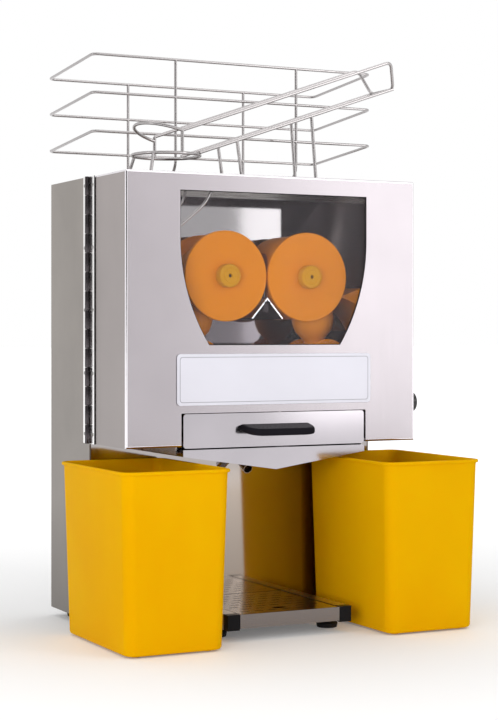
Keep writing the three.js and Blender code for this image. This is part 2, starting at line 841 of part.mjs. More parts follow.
function gear(axle, phase) {
  const toothHeight = (2 * pitchRadius) / gearTeeth;
  const pressure = THREE.MathUtils.degToRad(20);
  const baseRadius = pitchRadius * Math.cos(pressure);
  const involute = (angle) => Math.tan(angle) - angle;
  const flank = (radius) => {
    const angle = Math.acos(Math.min(baseRadius / radius, 1));
    return toothPitch / 4 - gearBacklash / pitchRadius / 2 + involute(pressure) - involute(angle);
  };
  const tip = pitchRadius + toothHeight - gearTipRelief;
  const root = pitchRadius - 1.25 * toothHeight;
  const outline = [];
  for (let i = 0; i < gearTeeth; i += 1) {
    const middle = phase + i * toothPitch;
    const sides = [
      [root, -flank(baseRadius)], [tip, -flank(tip)], [tip, flank(tip)], [root, flank(baseRadius)],
    ];
    outline.push(...sides.map(([radius, angle]) => polar(axle, radius, middle + angle)));
  }
  const back = gearFront + gearThickness;
  const blank = extrudeY(shapeOf(outline), gearFront, back);
  const ring = (y0, y1) => cut(
    cylinderY(gearWebOuter, axle.x, axle.z, y0, y1, 16), cylinderY(gearWebInner, axle.x, axle.z, y0, y1, 12));
  const hub = cylinderY(gearHubRadius, axle.x, axle.z, back - gearWebDepth, back + gearHubLength, 12);
  const bore = cylinderY(axleRadius + seatGap, axle.x, axle.z, gearFront - overrun, back + overrun, axleSides);
  const web = ring(back - gearWebDepth, back + overrun);
  return cut(join(cut(blank, web), hub), bore);
}

// A driven gear has a gap where its partner has a tooth
const meshed = (phase, lineAngle) => 2 * lineAngle + Math.PI + toothPitch / 2 - phase;

// Drive
function gearboxBracket() {
  const left = upperAxle.x - gearboxWidth / 2 - bracketMargin;
  const right = upperAxle.x + pitchRadius + (2 * pitchRadius) / gearTeeth + bracketMargin;
  const bottom = upperAxle.z - gearboxHeight / 2;
  const top = upperAxle.z + pitchRadius + (2 * pitchRadius) / gearTeeth + bracketMargin;
  const front = sheetBack + seatGap;
  const back = bracketFront + bracketSheet;
  const plate = box(left, right, bracketFront, back, bottom, top);
  const topLeg = box(left, right, front, back, top - bracketSheet, top);
  const sideLeg = box(right - bracketSheet, right, front, back, bottom, top);
  const topFoot = box(left, right, front, front + bracketSheet, top - bracketSheet, top + bracketFoot);
  const sideFoot = box(
    right - bracketSheet, right + bracketFoot, front, front + bracketSheet, bottom, top);
  const hole = cylinderY(
    axleRadius + drumClearance, upperAxle.x, upperAxle.z, bracketFront - overrun, back + overrun, axleSides);
  return cut(join(plate, topLeg, sideLeg, topFoot, sideFoot), hole);
}

const gearboxFront = bracketFront + bracketSheet + seatGap;
const gearboxBottom = upperAxle.z - gearboxHeight / 2;

function gearbox() {
  const shape = roundedRectangle(
    upperAxle.x - gearboxWidth / 2, upperAxle.x + gearboxWidth / 2,
    gearboxBottom, gearboxBottom + gearboxHeight, gearboxCorner);
  const housing = extrudeY(shape, gearboxFront, gearboxFront + gearboxDepth);
  const bore = cylinderY(
    axleRadius + seatGap, upperAxle.x, upperAxle.z,
    gearboxFront - overrun, gearboxFront + gearboxDepth + overrun, axleSides);
  return cut(housing, bore);
}

function motor() {
  const y = gearboxFront + motorRadius + bracketSheet;
  const top = gearboxBottom - seatGap;
  const bottom = top - motorLength;
  let body = join(
    cylinderZ(motorRadius, upperAxle.x, y, bottom, top, 16),
    cylinderZ(motorCapRadius, upperAxle.x, y, bottom - motorCapLength, bottom + seatGap, 16));
  for (let i = 0; i < motorFins; i += 1) {
    const z = top - motorFinPitch * (i + 1);
    const ring = cut(
      cylinderZ(motorRadius + overrun, upperAxle.x, y, z - motorFinGap, z, 16),
      cylinderZ(motorRadius - motorFinDepth, upperAxle.x, y, z - motorFinGap, z, 16));
    body = body.subtract(ring);
  }
  return body;
}

// Knife, divider, wedges
function knife() {
  const half = knifeThickness / 2;
  return extrudeY(shapeOf([
    [-half, knifeFoot], [half, knifeFoot], [half, knifeTop - knifeEdge],
    [0, knifeTop], [-half, knifeTop - knifeEdge],
  ]), knifeFront, knifeBack);
}

// A folded ridge over a bar that holds the knife's foot
function divider() {
  const fall = dividerTop - dividerSlope;
  const along = Math.hypot(dividerHalfWidth, dividerSlope);
  const across = (dividerSheet * dividerSlope) / along;
  const down = (dividerSheet * dividerHalfWidth) / along;
  const under = dividerTop - (dividerSheet * along) / dividerHalfWidth;
  const ridge = extrudeY(shapeOf([
    [0, dividerTop], [-dividerHalfWidth, fall], [across - dividerHalfWidth, fall - down], [0, under],
    [dividerHalfWidth - across, fall - down], [dividerHalfWidth, fall],
  ]), drumFaceFront, columnFront - seatGap);
  const bar = box(
    -dividerBarHalf, dividerBarHalf, knifeFront - dividerBarHalf, columnFront - seatGap,
    dividerTop - dividerBarTop - dividerBarDepth, dividerTop - dividerBarTop);
  const slot = box(
    -knifeThickness / 2 - seatGap, knifeThickness / 2 + seatGap,
    knifeFront - seatGap, knifeBack + seatGap, knifeFoot - seatGap, dividerTop + overrun);
  return cut(join(ridge, bar), slot);
}

// The wedge's tip stands where the drum's sweep and the balls' sweep cross
function peelWedge(side) {
  const drumSweep = drumFaceRadius + drumClearance;
  const ballSweep = pitchRadius + ballRadius + ballClearance;
  const between = 2 * pitchRadius;
  const along = (drumSweep ** 2 - ballSweep ** 2 + between ** 2) / (2 * between);
  const across = Math.sqrt(drumSweep ** 2 - along ** 2);
  const toLower = [-lowerAxleOffset / between, -lowerDrop / between];
  const tip = [
    -upperAxle.x + along * toLower[0] + across * toLower[1],
    upperAxle.z + along * toLower[1] - across * toLower[0],
  ];
  const start = Math.atan2(tip[1] - lowerAxle.z, tip[0] + lowerAxle.x);
  const sweep = THREE.MathUtils.degToRad(wedgeSpan);
  const arcSteps = 6;
  const centre = { x: -lowerAxle.x, z: lowerAxle.z };
  const outline = [];
  for (let i = 0; i <= arcSteps; i += 1) {
    outline.push(polar(centre, ballSweep, start + (sweep * i) / arcSteps));
  }
  const last = outline[outline.length - 1];
  outline.push([tip[0] - wedgeReach, last[1]]);
  outline.push([tip[0] - wedgeReach, tip[1] - wedgeRise / 2]);
  outline.push([tip[0] - wedgeReach / 2, tip[1] + wedgeRise / 2]);
  const placed = outline.map(([x, z]) => [-side * x, z]);
  return extrudeY(shapeOf(side > 0 ? placed.reverse() : placed), wedgeFront, columnFront - seatGap);
}

// Wire goods
function basket() {
  const wires = [];
  const rear = (level) => level - basketTilt;
  for (const level of basketLevels) {
    const corners = [
      at(0, basketBack, rear(level)), at(-basketHalfWidth, basketBack, rear(level)),
      at(-basketHalfWidth, basketFront, level), at(basketHalfWidth, basketFront, level),
      at(basketHalfWidth, basketBack, rear(level)), at(-wireBend, basketBack, rear(level)),
    ];
    wires.push(wire(bent(corners, wireBend), basketWire));
  }
  const top = basketLevels[basketLevels.length - 1];
  const floor = bodyTop + seatGap + basketWire;
  for (const side of [-1, 1]) {
    const x = side * basketFrameX;
    wires.push(wire(bent([
      at(x, basketBack, rear(top)), at(x, basketBack, floor + basketFootRise),
      at(x, basketBack - basketFootRise, floor), at(x, basketFootFront, floor),
      at(x, basketFront, floor + basketFootRise), at(x, basketFront, top),
    ], wireBend), basketWire));
  }
  wires.push(wire([
    at(-basketFrameX, basketFootFront + wireBend, floor), at(basketFrameX, basketFootFront + wireBend, floor),
  ], basketWire));
  wires.push(wire([
    at(-basketFrameX, basketBack - basketFootRise - wireBend, floor),
    at(basketFrameX, basketBack - basketFootRise - wireBend, floor),
  ], basketWire));
  return join(...wires);
}

function feedRamp() {
  const upper = (end, side) => at(end.x, feedY + side * rampUpperHalf, end.z);
  const lower = (end, side) => at(end.x, feedY + side * rampLowerHalf, end.z);
  const wires = [];
  const frame = bent([
    upper(rampUpperLeft, -1), upper(rampUpperRight, -1), lower(rampLowerRight, -1),
    lower(rampLowerRight, 1), upper(rampUpperRight, 1), upper(rampUpperLeft, 1),
  ], wireBend);
  wires.push(wire(frame, rampWire));
  const hoopSteps = 10;
  const upperHoop = [];
  for (let i = 0; i <= hoopSteps; i += 1) {
    const angle = -Math.PI / 2 - (Math.PI * i) / hoopSteps;
    upperHoop.push(at(
      rampUpperLeft.x + rampUpperHalf * Math.cos(angle), feedY + rampUpperHalf * Math.sin(angle),
      rampUpperLeft.z - hoopLean - hoopLift * Math.cos(angle) - hoopLean * Math.sin(angle)));
  }
  wires.push(wire(upperHoop, rampWire));
  const ringSteps = 18;
  const ring = Array.from({ length: ringSteps + 1 }, (_, i) => {
    const angle = (2 * Math.PI * i) / ringSteps;
    return at(-feedX + rampUpperHalf * Math.cos(angle), feedY + rampUpperHalf * Math.sin(angle), hoopHeight);
  });
  wires.push(wire(ring.slice(0, ringSteps - 1), rampWire));
  wires.push(wire(ring.slice(ringSteps - 3), rampWire));
  for (const side of [-1, 1]) {
    wires.push(wire([lower(rampLowerLeft, side), lower(rampLowerRight, side)], rampWire));
    wires.push(wire([
      at(rampUpperLeft.x, feedY + side * rampUpperHalf, rampUpperLeft.z),
      at(rampUpperLeft.x, feedY + side * rampUpperHalf, hoopHeight),
    ], rampWire));
    const run = rampLowerRight.x - rampLowerLeft.x;
    const climb = rampLowerRight.z - rampLowerLeft.z;
    for (const x of rampLegPlaces) {
      const z = rampLowerLeft.z + (climb * (x - rampLowerLeft.x)) / run;
      wires.push(wire([
        at(x, feedY + side * rampLowerHalf, z),
        at(x + rampLegLean, feedY + side * rampLowerHalf, roofTop + wireBend),
        at(x + rampLegLean, feedY + side * rampLowerHalf, roofTop + seatGap),
      ], rampWire));
    }
    const legX = -feedX - Math.SQRT1_2 * (rampUpperHalf + wireBend);
    const legY = feedY + side * Math.SQRT1_2 * (rampUpperHalf + wireBend);
    wires.push(wire([
      at(-feedX - Math.SQRT1_2 * rampUpperHalf, feedY + side * Math.SQRT1_2 * rampUpperHalf, hoopHeight),
      at(legX, legY, roofTop + wireBend), at(legX, legY, roofTop + seatGap),
    ], rampWire));
  }
  return join(...wires);
}

function fruitGuide() {
  const place = (name) => bodyHalf * halfWidthShares[name];
  const top = roofBottom - seatGap;
  const bend = { x: place('guideBend'), z: guideHeight(guideDropShares.bend) };
  const low = { x: place('guideLow'), z: guideHeight(guideDropShares.low) };
  const left = { x: place('guideLeft'), z: guideHeight(guideDropShares.left) };
  const right = place('guideTopRight');
  const far = place('guideTopLeft');
  const wires = [];
  const planes = [feedY - feedRadius + guideInset, feedY + feedRadius - guideInset];
  for (const y of planes) {
    wires.push(wire(bent([
      at(right, y, top), at(right, y, top - wireBend), at(bend.x, y, bend.z), at(low.x, y, low.z),
      at(left.x, y, left.z), at(far, y, top - wireBend), at(far, y, top),
    ], 2 * wireBend), guideWire));
  }
  const crossings = [
    [(low.x + left.x) / 2, (low.z + left.z) / 2], [(left.x + far) / 2, (left.z + top - wireBend) / 2],
  ];
  for (const [x, z] of crossings) {
    wires.push(wire([at(x, planes[0], z), at(x, planes[1], z)], guideWire));
  }
  return join(...wires);
}

// Peel chutes, each with two runners on its inner wall
function peelChute(side) {
  const outline = (inset, extra) => shapeOf([
    [chuteInner + inset, chuteBottom - extra], [chuteInner + inset, chuteInnerTop + extra],
    [chuteKneeX, chuteKneeTop + extra], [chuteOuter - inset, chuteOuterTop + extra],
    [chuteOuter - inset, chuteBottom - extra],
  ]);
  const outer = extrudeY(outline(0, 0), chuteFront, chuteBack);
  const inner = extrudeY(outline(chuteSheet, overrun), chuteFront + chuteSheet, chuteBack - chuteSheet);
  const skirt = box(
    chuteInner, chuteInner + chuteSheet, chuteFront, chuteBack,
    chuteBottom - runnerDrop, chuteBottom + chuteSheet);
  const rear = box(
    chuteInner, chuteOuter, chuteBack - chuteSheet, columnFront - seatGap,
    chuteBottom, chuteBottom + chuteSheet);
  const runners = [drawerFlange, collectorFlange].map((z) => box(
    chuteInner - runnerWidth, chuteInner + seatGap, chuteFront, chuteBack,
    z - seatGap - chuteSheet, z - seatGap));
  const right = join(cut(outer, inner), skirt, rear, ...runners);
  return side > 0 ? right : right.mirror([1, 0, 0]);
}

// Latch
function latchKeeper() {
  const top = keeperBottom + keeperHeight;
  const back = columnFront - seatGap;
  return join(
    box(keeperX, keeperX + keeperSheet, keeperLipFront, back, keeperBottom, top),
    box(keeperX, keeperX + keeperLipWidth, keeperLipFront, keeperLipFront + keeperSheet, keeperBottom, top),
    box(keeperX, keeperX + keeperFoot, back - keeperSheet, back, keeperBottom, top));
}

function latchKnob() {
  const face = bodyHalf + seatGap;
  const end = face + latchKnobLength;
  const knob = solid(new THREE.LatheGeometry([
    [0, face], [latchKnobRadius - latchKnobEdge, face], [latchKnobRadius, face + latchKnobEdge],
    [latchKnobRadius, end - latchKnobEdge], [latchKnobRadius - latchKnobEdge, end], [0, end],
  ].map(([r, x]) => new THREE.Vector2(r, x)), 18).rotateZ(-Math.PI / 2).translate(0, latchY, latchZ));
  const stem = cylinderX(latchStemRadius, latchY, latchZ, latchCamX, face + latchKnobEdge, 16);
  const cam = extrudeX(roundedRectangle(
    latchY - latchCamHalf, latchY + latchCamReach, latchZ - latchCamHalf, latchZ + latchCamHalf,
    latchCamHalf - seatGap),
  latchCamX, latchCamX + latchCamThickness);
  return join(knob, stem, cam);
}

// Filter drawer with a sieve floor
const drawerFlange = drawerBottom + 3 * drawerSheet;
const collectorFlange = collectorTop - 2 * collectorSheet;

function filterDrawer() {
  const panel = extrudeY(roundedRectangle(
    -notchHalfWidth + drawerPanelGap, notchHalfWidth - drawerPanelGap, drawerPanelBottom,
    notchTop - drawerPanelGap, drawerPanelCorner), 0, drawerPanelSheet);
  const tray = box(-drawerHalfWidth, drawerHalfWidth, 0, drawerBack, drawerBottom, drawerTop);
  const inside = box(
    -drawerHalfWidth + drawerSheet, drawerHalfWidth - drawerSheet, drawerPanelSheet, drawerBack - drawerSheet,
    drawerBottom + drawerSheet, drawerTop + overrun);
  const flanges = [-1, 1].map((side) => box(
    side < 0 ? -drawerFlangeReach : drawerHalfWidth - drawerSheet / 2,
    side < 0 ? -drawerHalfWidth + drawerSheet / 2 : drawerFlangeReach,
    chuteFront - doorSheet, drawerBack - slideGap, drawerFlange, drawerFlange + drawerSheet));
  const slots = [];
  const spanX = 2 * (drawerHalfWidth - sieveMargin);
  const spanY = drawerBack - 2 * sieveMargin - drawerPanelSheet;
  for (let row = 0; row < sieveRows; row += 1) {
    for (let column = 0; column < sieveColumns; column += 1) {
      const x = -spanX / 2 + (spanX * (column + 0.5)) / sieveColumns;
      const y = drawerPanelSheet + sieveMargin + (spanY * (row + 0.5)) / sieveRows;
      slots.push(box(
        x - sieveSlotWidth / 2, x + sieveSlotWidth / 2, y - sieveSlotLength / 2, y + sieveSlotLength / 2,
        drawerBottom - overrun, drawerBottom + drawerSheet + overrun));
    }
  }
  return join(panel, cut(tray, inside, ...slots), ...flanges);
}

// Pull handle: a closed top that slopes down to the front, and a finger pocket from below
function drawerHandle() {
  const plan = (inset, back) => {
    const half = handleHalfWidth - inset;
    const front = -handleReach + inset;
    const corner = handleCorner - inset;
    const shape = new THREE.Shape();
    shape.moveTo(handleX - half, back);
    shape.lineTo(handleX - half, front + corner);
    shape.quadraticCurveTo(handleX - half, front, handleX - half + corner, front);
    shape.lineTo(handleX + half - corner, front);
    shape.quadraticCurveTo(handleX + half, front, handleX + half, front + corner);
    shape.lineTo(handleX + half, back);
    return shape;
  };
  const lean = new THREE.Matrix4().makeShear(0, 0, 0, handleDrop / handleReach, 0, 0);
  const leaning = (shape, low, high) => solid(
    extrude(shape, high - low, 8).translate(0, 0, low).applyMatrix4(lean));
  const top = handleBottom + handleHeight;
  return cut(
    leaning(plan(0, -seatGap), handleBottom, top),
    leaning(plan(handleWall, -handleWall), handleBottom - overrun, top - handleTopWall));
}

// Juice collector: a shallow trough with a V floor, a V front and a spout
function juiceCollector() {
  const side = collectorTop - collectorEdge;
  const frontBack = collectorFront + collectorSheet;
  const front = extrudeY(shapeOf([
    [-collectorLipHalf, collectorTop], [-collectorLipHalf, side], [0, collectorLow],
    [collectorLipHalf, side], [collectorLipHalf, collectorTop],
  ]), collectorFront, frontBack);
  const rim = collectorTop - collectorSheet / 2;
  const slope = (side - collectorLow) / collectorLipHalf;
  const trough = (inset, top) => {
    const half = collectorHalfWidth - inset;
    const corner = collectorLow + inset + slope * half;
    return shapeOf([[-half, top], [-half, corner], [0, collectorLow + inset], [half, corner], [half, top]]);
  };
  const outer = extrudeY(trough(0, rim), (collectorFront + frontBack) / 2, collectorBack);
  const inner = extrudeY(
    trough(collectorSheet, rim + overrun), frontBack, collectorBack - collectorSheet);
  const flanges = [-1, 1].map((end) => box(
    end < 0 ? -collectorLipHalf : collectorHalfWidth - collectorSheet / 2,
    end < 0 ? -collectorHalfWidth + collectorSheet / 2 : collectorLipHalf,
    chuteFront - doorSheet, collectorBack - slideGap, collectorFlange, collectorFlange + collectorSheet));
  const lean = THREE.MathUtils.degToRad(spoutLean);
  const pipe = (radius, extra) => {
    const geometry = new THREE.CylinderGeometry(radius, radius, spoutLength + extra, 14);
    geometry.translate(0, spoutSink - (spoutLength + extra) / 2, 0);
    return solid(geometry.rotateX(Math.PI / 2 - lean).translate(0, spoutY, collectorLow));
  };
  const above = extrudeY(
    trough(collectorSheet / 2, rim + overrun), frontBack - overrun, collectorBack + overrun);
  const tube = pipe(spoutRadius, 0).subtract(above);
  return cut(join(front, cut(outer, inner), ...flanges, tube), pipe(spoutRadius - spoutWall, 2 * overrun));
}

// Base rails, drip tray, grille, feet
function baseRail(side) {
  const back = columnFront - seatGap;
  const tube = box(railInner, railOuter, trayFront, back, railBottom, railTop);
  const hollow = box(
    railInner + railWall, railOuter - railWall, trayFront + railCap, back + overrun,
    railBottom + railWall, railTop - railWall);
  const right = cut(tube, hollow);
  return side > 0 ? right : right.mirror([1, 0, 0]);
}

function dripTray() {
  const back = columnFront - slideGap;
  const outer = box(-trayHalfWidth, trayHalfWidth, trayFront, back, trayBottom, trayTop);
  const inner = box(
    -trayHalfWidth + traySheet, trayHalfWidth - traySheet, trayFront + traySheet, back - traySheet,
    trayBottom + traySheet, trayTop + overrun);
  const ledgeTop = trayTop - grilleThickness - seatGap;
  const ledges = [-1, 1].map((side) => box(
    side < 0 ? -trayHalfWidth : trayHalfWidth - grilleLedge,
    side < 0 ? -trayHalfWidth + grilleLedge : trayHalfWidth,
    trayFront, back, ledgeTop - traySheet, ledgeTop));
  return join(cut(outer, inner), ...ledges);
}

function dripGrille() {
  const half = trayHalfWidth - grilleInset;
  const front = trayFront + grilleInset;
  const back = columnFront - slideGap - grilleInset;
  const plate = box(-half, half, front, back, trayTop - grilleThickness, trayTop);
  const slots = [];
  const spanX = 2 * (half - grilleMargin);
  const spanY = back - front - 2 * grilleMargin;
  for (let row = 0; row < grilleRows; row += 1) {
    for (let column = 0; column < grilleColumns; column += 1) {
      const stagger = row % 2 ? 0.75 : 0.25;
      const x = -spanX / 2 + (spanX * (column + stagger)) / grilleColumns;
      const y = front + grilleMargin + (spanY * (row + 0.5)) / grilleRows;
      const nearHole = Math.abs(x) < fingerHoleLength / 2 + grilleSlotLength / 2 + grilleSlotWidth
        && Math.abs(y - fingerHoleY) < fingerHoleWidth / 2 + grilleSlotWidth;
      if (nearHole) continue;
      slots.push(box(
        x - grilleSlotLength / 2, x + grilleSlotLength / 2, y - grilleSlotWidth / 2, y + grilleSlotWidth / 2,
        trayTop - grilleThickness - overrun, trayTop + overrun));
    }
  }
  const finger = new THREE.Shape();
  finger.absellipse(0, fingerHoleY, fingerHoleLength / 2, fingerHoleWidth / 2, 0, 2 * Math.PI);
  slots.push(extrudeZ(finger, trayTop - grilleThickness - overrun, trayTop + overrun, 5));
  return cut(plate, ...slots);
}

function foot(x, y, top) {
  return join(
    cylinderZ(footRadius, x, y, 0, footPad, 18, footRadius - footPad / 4),
    cylinderZ(footStemRadius, x, y, footPad / 2, top - seatGap, 10));
}

// Peel bins: walls lean out to a beaded rim
function leaningBlock(x0, x1, y0, y1, z0, z1, radius, growth) {
  const middle = [(x0 + x1) / 2, (y0 + y1) / 2];
  const geometry = extrude(roundedRectangle(
    x0 - middle[0], x1 - middle[0], y0 - middle[1], y1 - middle[1], radius), z1 - z0, 2);
  const place = geometry.attributes.position;
  for (let i = 0; i < place.count; i += 1) {
    const lift = place.getZ(i) / (z1 - z0);
    place.setX(i, place.getX(i) * (1 + (lift * growth) / ((x1 - x0) / 2)));
    place.setY(i, place.getY(i) * (1 + (lift * growth) / ((y1 - y0) / 2)));
  }
  return solid(geometry.translate(middle[0], middle[1], z0));
}

function peelBin(side) {
  const x1 = binInner + binWidth;
  const y1 = binFront + binDepth;
  const outer = leaningBlock(
    binInner, x1, binFront, y1, binFootHeight, binHeight, binCorner, binDraft);
  const inner = leaningBlock(
    binInner + binWall, x1 - binWall, binFront + binWall, y1 - binWall,
    binFootHeight + binWall, binHeight + overrun, binCorner - binWall,
    binDraft * (1 + (overrun + binWall) / (binHeight - binFootHeight)));
  const grow = binDraft + binBead;
  const bead = leaningBlock(
    binInner - grow, x1 + grow, binFront - grow, y1 + grow, binHeight - binBeadHeight, binHeight,
    binCorner + binBead, 0);
  const feet = [];
  for (const x of [binInner + binFootInset, x1 - binFootInset]) {
    for (const y of [binFront + binFootInset, y1 - binFootInset]) {
      feet.push(cylinderZ(binFootRadius, x, y, 0, binFootHeight + binWall / 2, 10));
    }
  }
  const right = cut(join(outer, bead, ...feet), inner);
  return side > 0 ? right : right.mirror([1, 0, 0]);
}

// Mains switch: a hollow bezel through the right wall, and a two-faced rocker in it
function switchBezel() {
  const face = bodyHalf + seatGap;
  const barrelY = switchHoleY / 2 - seatGap;
  const barrelZ = switchHoleZ / 2 - seatGap;
  const rim = box(
    face, face + bezelProud, switchY - barrelY - bezelRim, switchY + barrelY + bezelRim,
    switchZ - barrelZ - bezelRim, switchZ + barrelZ + bezelRim);
  const barrel = box(
    bodyHalf - bezelDepth, face + bezelProud, switchY - barrelY, switchY + barrelY,
    switchZ - barrelZ, switchZ + barrelZ);
  const hollow = box(
    bodyHalf - bezelDepth - overrun, face + bezelProud + overrun, switchY - barrelY + bezelWall,
    switchY + barrelY - bezelWall, switchZ - barrelZ + bezelWall, switchZ + barrelZ - bezelWall);
  return cut(join(rim, barrel), hollow);
}

const rockerPivot = at(bodyHalf - rockerPivotIn, switchY, switchZ);

function switchRocker() {
  const tilt = THREE.MathUtils.degToRad(rockerThrow);
  const lean = THREE.MathUtils.degToRad(rockerFaceAngle);
  const rise = rockerRadius * Math.cos(lean);
  const shape = new THREE.Shape();
  shape.absarc(0, 0, rockerRadius, Math.PI / 2 - lean, 1.5 * Math.PI + lean);
  shape.lineTo(rockerRadius * Math.sin(lean) - rise * Math.tan(tilt), 0);
  const block = extrudeY(shape, -rockerWidth / 2, rockerWidth / 2);
  return block.rotate([0, rockerThrow, 0]).translate([rockerPivot.x, rockerPivot.y, rockerPivot.z]);
}

// The whole machine
const machine = new THREE.Group();

function add(name, manifold, material) {
  const mesh = new THREE.Mesh(geometryOf(manifold), material);
  mesh.name = name;
  machine.add(mesh);
}

add('column_shell', columnShell(), stainless());
add('front_sheet', frontSheet(), stainless());
add('rear_cover', rearCover(), stainless());
add('roof_plate', roofPlate(), stainless());
add('cable_gland', cableGland(), darkPlastic());

add('door_shell', doorShell(), stainless());
add('door_window', windowPane(), finish(0x3a3238, 0, 0.1, { transparent: true, opacity: 0.45 }));
add('name_plate', namePlate(), finish(0xe2e2ec, 0.1, 0.35));
add('hinge_leaf_door', hingeHalf(true), brightSteel());
add('hinge_leaf_body', hingeHalf(false), brightSteel());
add('hinge_pin', hingePin(), brightSteel());
add('door_latch_knob', latchKnob(), darkPlastic());
add('latch_keeper', latchKeeper(), stainless());

const gearPhases = { upper_left: 0 };
gearPhases.upper_right = meshed(gearPhases.upper_left, 0);
gearPhases.lower_left = meshed(gearPhases.upper_left, pressAngle);
gearPhases.lower_right = meshed(gearPhases.upper_right, Math.PI - pressAngle);
for (const axle of axles) {
  const side = Math.sign(axle.x);
  const upper = axle.name.startsWith('upper');
  const driven = axle.name === 'upper_right';
  add(`drum_${axle.name}`, upper ? upperDrum(side) : lowerDrum(side), orangePlastic());
  const knobBase = upper ? knobBack : drumFaceBack - seatGap;
  const knobSize = upper ? [knobRadius, knobLength] : [lowerKnobRadius, lowerKnobLength];
  add(`knob_${axle.name}`, drumKnob(axle, ...knobSize, knobBase), yellowPlastic());
  const axleEnd = driven ? driveAxleBack : axleBack;
  add(`axle_${axle.name}`, drumAxle(axle, knobBase + seatGap, axleEnd), brightSteel());
  add(`bearing_${axle.name}`, bearing(axle), castAluminium());
  add(`gear_${axle.name}`, gear(axle, gearPhases[axle.name]), gearPlastic());
}
add('gearbox_bracket', gearboxBracket(), stainless());
add('gearbox', gearbox(), castAluminium());
add('drive_motor', motor(), castAluminium());

add('knife', knife(), brightSteel());
add('divider', divider(), stainless());
for (const side of [-1, 1]) {
  const hand = side < 0 ? 'left' : 'right';
  add(`peel_wedge_${hand}`, peelWedge(side), orangePlastic());
  add(`peel_chute_${hand}`, peelChute(side), stainless());
  add(`base_rail_${hand}`, baseRail(side), stainless());
  add(`front_foot_${hand}`, foot(side * frontFootX, frontFootY, railBottom), darkPlastic());
  add(`rear_foot_${hand}`, foot(side * rearFootX, columnBack - rearFootInset, bodyBottom), darkPlastic());
  add(`peel_bin_${hand}`, peelBin(side), yellowPlastic());
}

add('fruit_basket', basket(), brightSteel());
add('feed_ramp', feedRamp(), brightSteel());
add('fruit_guide', fruitGuide(), brightSteel());

add('filter_drawer', filterDrawer(), stainless());
add('drawer_handle', drawerHandle(), darkPlastic());
add('juice_collector', juiceCollector(), stainless());
add('drip_tray', dripTray(), stainless());
add('drip_grille', dripGrille(), stainless());
add('switch_bezel', switchBezel(), darkPlastic());
add('switch_rocker', switchRocker(), darkPlastic());

// The origin is under the middle of the machine's whole outline
const reach = new THREE.Box3().setFromObject(machine);
machine.position.set(-(reach.min.x + reach.max.x) / 2, -(reach.min.y + reach.max.y) / 2, -reach.min.z);

const juicer = new THREE.Group();
juicer.add(machine);
juicer.updateMatrixWorld(true);

export default juicer;
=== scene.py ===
"""Automatic orange juicer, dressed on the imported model. Metres, in the model's own frame."""
import math

import bmesh
import bpy
from mathutils import Matrix, Vector


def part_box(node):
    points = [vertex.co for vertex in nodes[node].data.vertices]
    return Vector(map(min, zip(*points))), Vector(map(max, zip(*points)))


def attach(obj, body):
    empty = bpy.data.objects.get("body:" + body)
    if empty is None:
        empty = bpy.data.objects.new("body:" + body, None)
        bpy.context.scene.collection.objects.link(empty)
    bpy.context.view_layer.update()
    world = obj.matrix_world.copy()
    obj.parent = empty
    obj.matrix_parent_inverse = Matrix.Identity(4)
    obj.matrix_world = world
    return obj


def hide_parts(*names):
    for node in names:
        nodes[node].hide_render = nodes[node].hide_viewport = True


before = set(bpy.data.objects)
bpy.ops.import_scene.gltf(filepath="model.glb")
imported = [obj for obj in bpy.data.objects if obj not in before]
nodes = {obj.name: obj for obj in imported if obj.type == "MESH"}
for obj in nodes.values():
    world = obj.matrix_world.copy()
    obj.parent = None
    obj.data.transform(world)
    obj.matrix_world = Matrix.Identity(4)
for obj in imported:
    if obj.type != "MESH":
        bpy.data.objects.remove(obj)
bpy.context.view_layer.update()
scene = bpy.context.scene

# The machine's own frame has its middle on x, its door front at y 0 and its counter at z 0, in mm
MM = 0.001
SHIFT_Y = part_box("door_shell")[0].y / MM


def at(x, y, z):
    """A place in the machine's own frame, in mm, as one in the model's, in metres."""
    return Vector((x, y + SHIFT_Y, z)) * MM


def box(node):
    """A CAD node's lowest and highest corner at rest, in the machine's own frame."""
    return [corner / MM - Vector((0, SHIFT_Y, 0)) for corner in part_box(node)]


def centre(node):
    low, high = box(node)
    return (low + high) / 2


# Main sizes in that frame
door_low, door_high = box("door_shell")
TOP = door_high.z  # of the door and of the column
ROOF_TOP = TOP - 8  # of the plate over the pressing chamber
BACK = box("rear_cover")[1].y
HINGE_X, HINGE_Y, _ = centre("hinge_pin")
LEAF_INSIDE = box("hinge_leaf_door")[1].x
LEAF_OUTSIDE = LEAF_INSIDE - 1.2

# The drums' shafts: every ball or cup lies on a circle round its shaft, and two circles touch
SHAFTS = {}
for quarter in ("upper_left", "upper_right", "lower_left", "lower_right"):
    SHAFTS[quarter] = centre(f"axle_{quarter}").xz
BALL_CIRCLE = SHAFTS["upper_right"][0]
BALL_Y = 70


def placed(name, data):
    obj = bpy.data.objects.new(name, data)
    scene.collection.objects.link(obj)
    return obj


# Camera of the photograph, level, with its focal length and horizon in the photograph's pixels
PHOTO_HEIGHT = 720
FOCAL = 1744.9
HORIZON = 332.1
camera_data = bpy.data.cameras.new("camera")
camera = placed("camera", camera_data)
scene.camera = camera
camera.location = at(-1092.4, -2096.1, 407)
forward = Vector((0.4484, 0.8938, 0.0))
camera.rotation_mode = "QUATERNION"
camera.rotation_quaternion = forward.to_track_quat("-Z", "Y")
camera_data.lens = FOCAL * camera_data.sensor_width / PHOTO_HEIGHT
camera_data.shift_y = (HORIZON - PHOTO_HEIGHT / 2) / PHOTO_HEIGHT
camera_data.clip_start = 0.05
camera_data.clip_end = 50

scene.view_settings.view_transform = "Standard"


# Materials
EVEN = (1, 1, 1)
ALONG_Z = (1, 1, 0.012)
ALONG_X = (0.012, 1, 1)
ALONG_Y = (1, 0.012, 1)
BRUSH = 900  # the scale of brushing lines
BRUSH_DEPTH = 0.0002
GRAIN_DEPTH = 0.0003


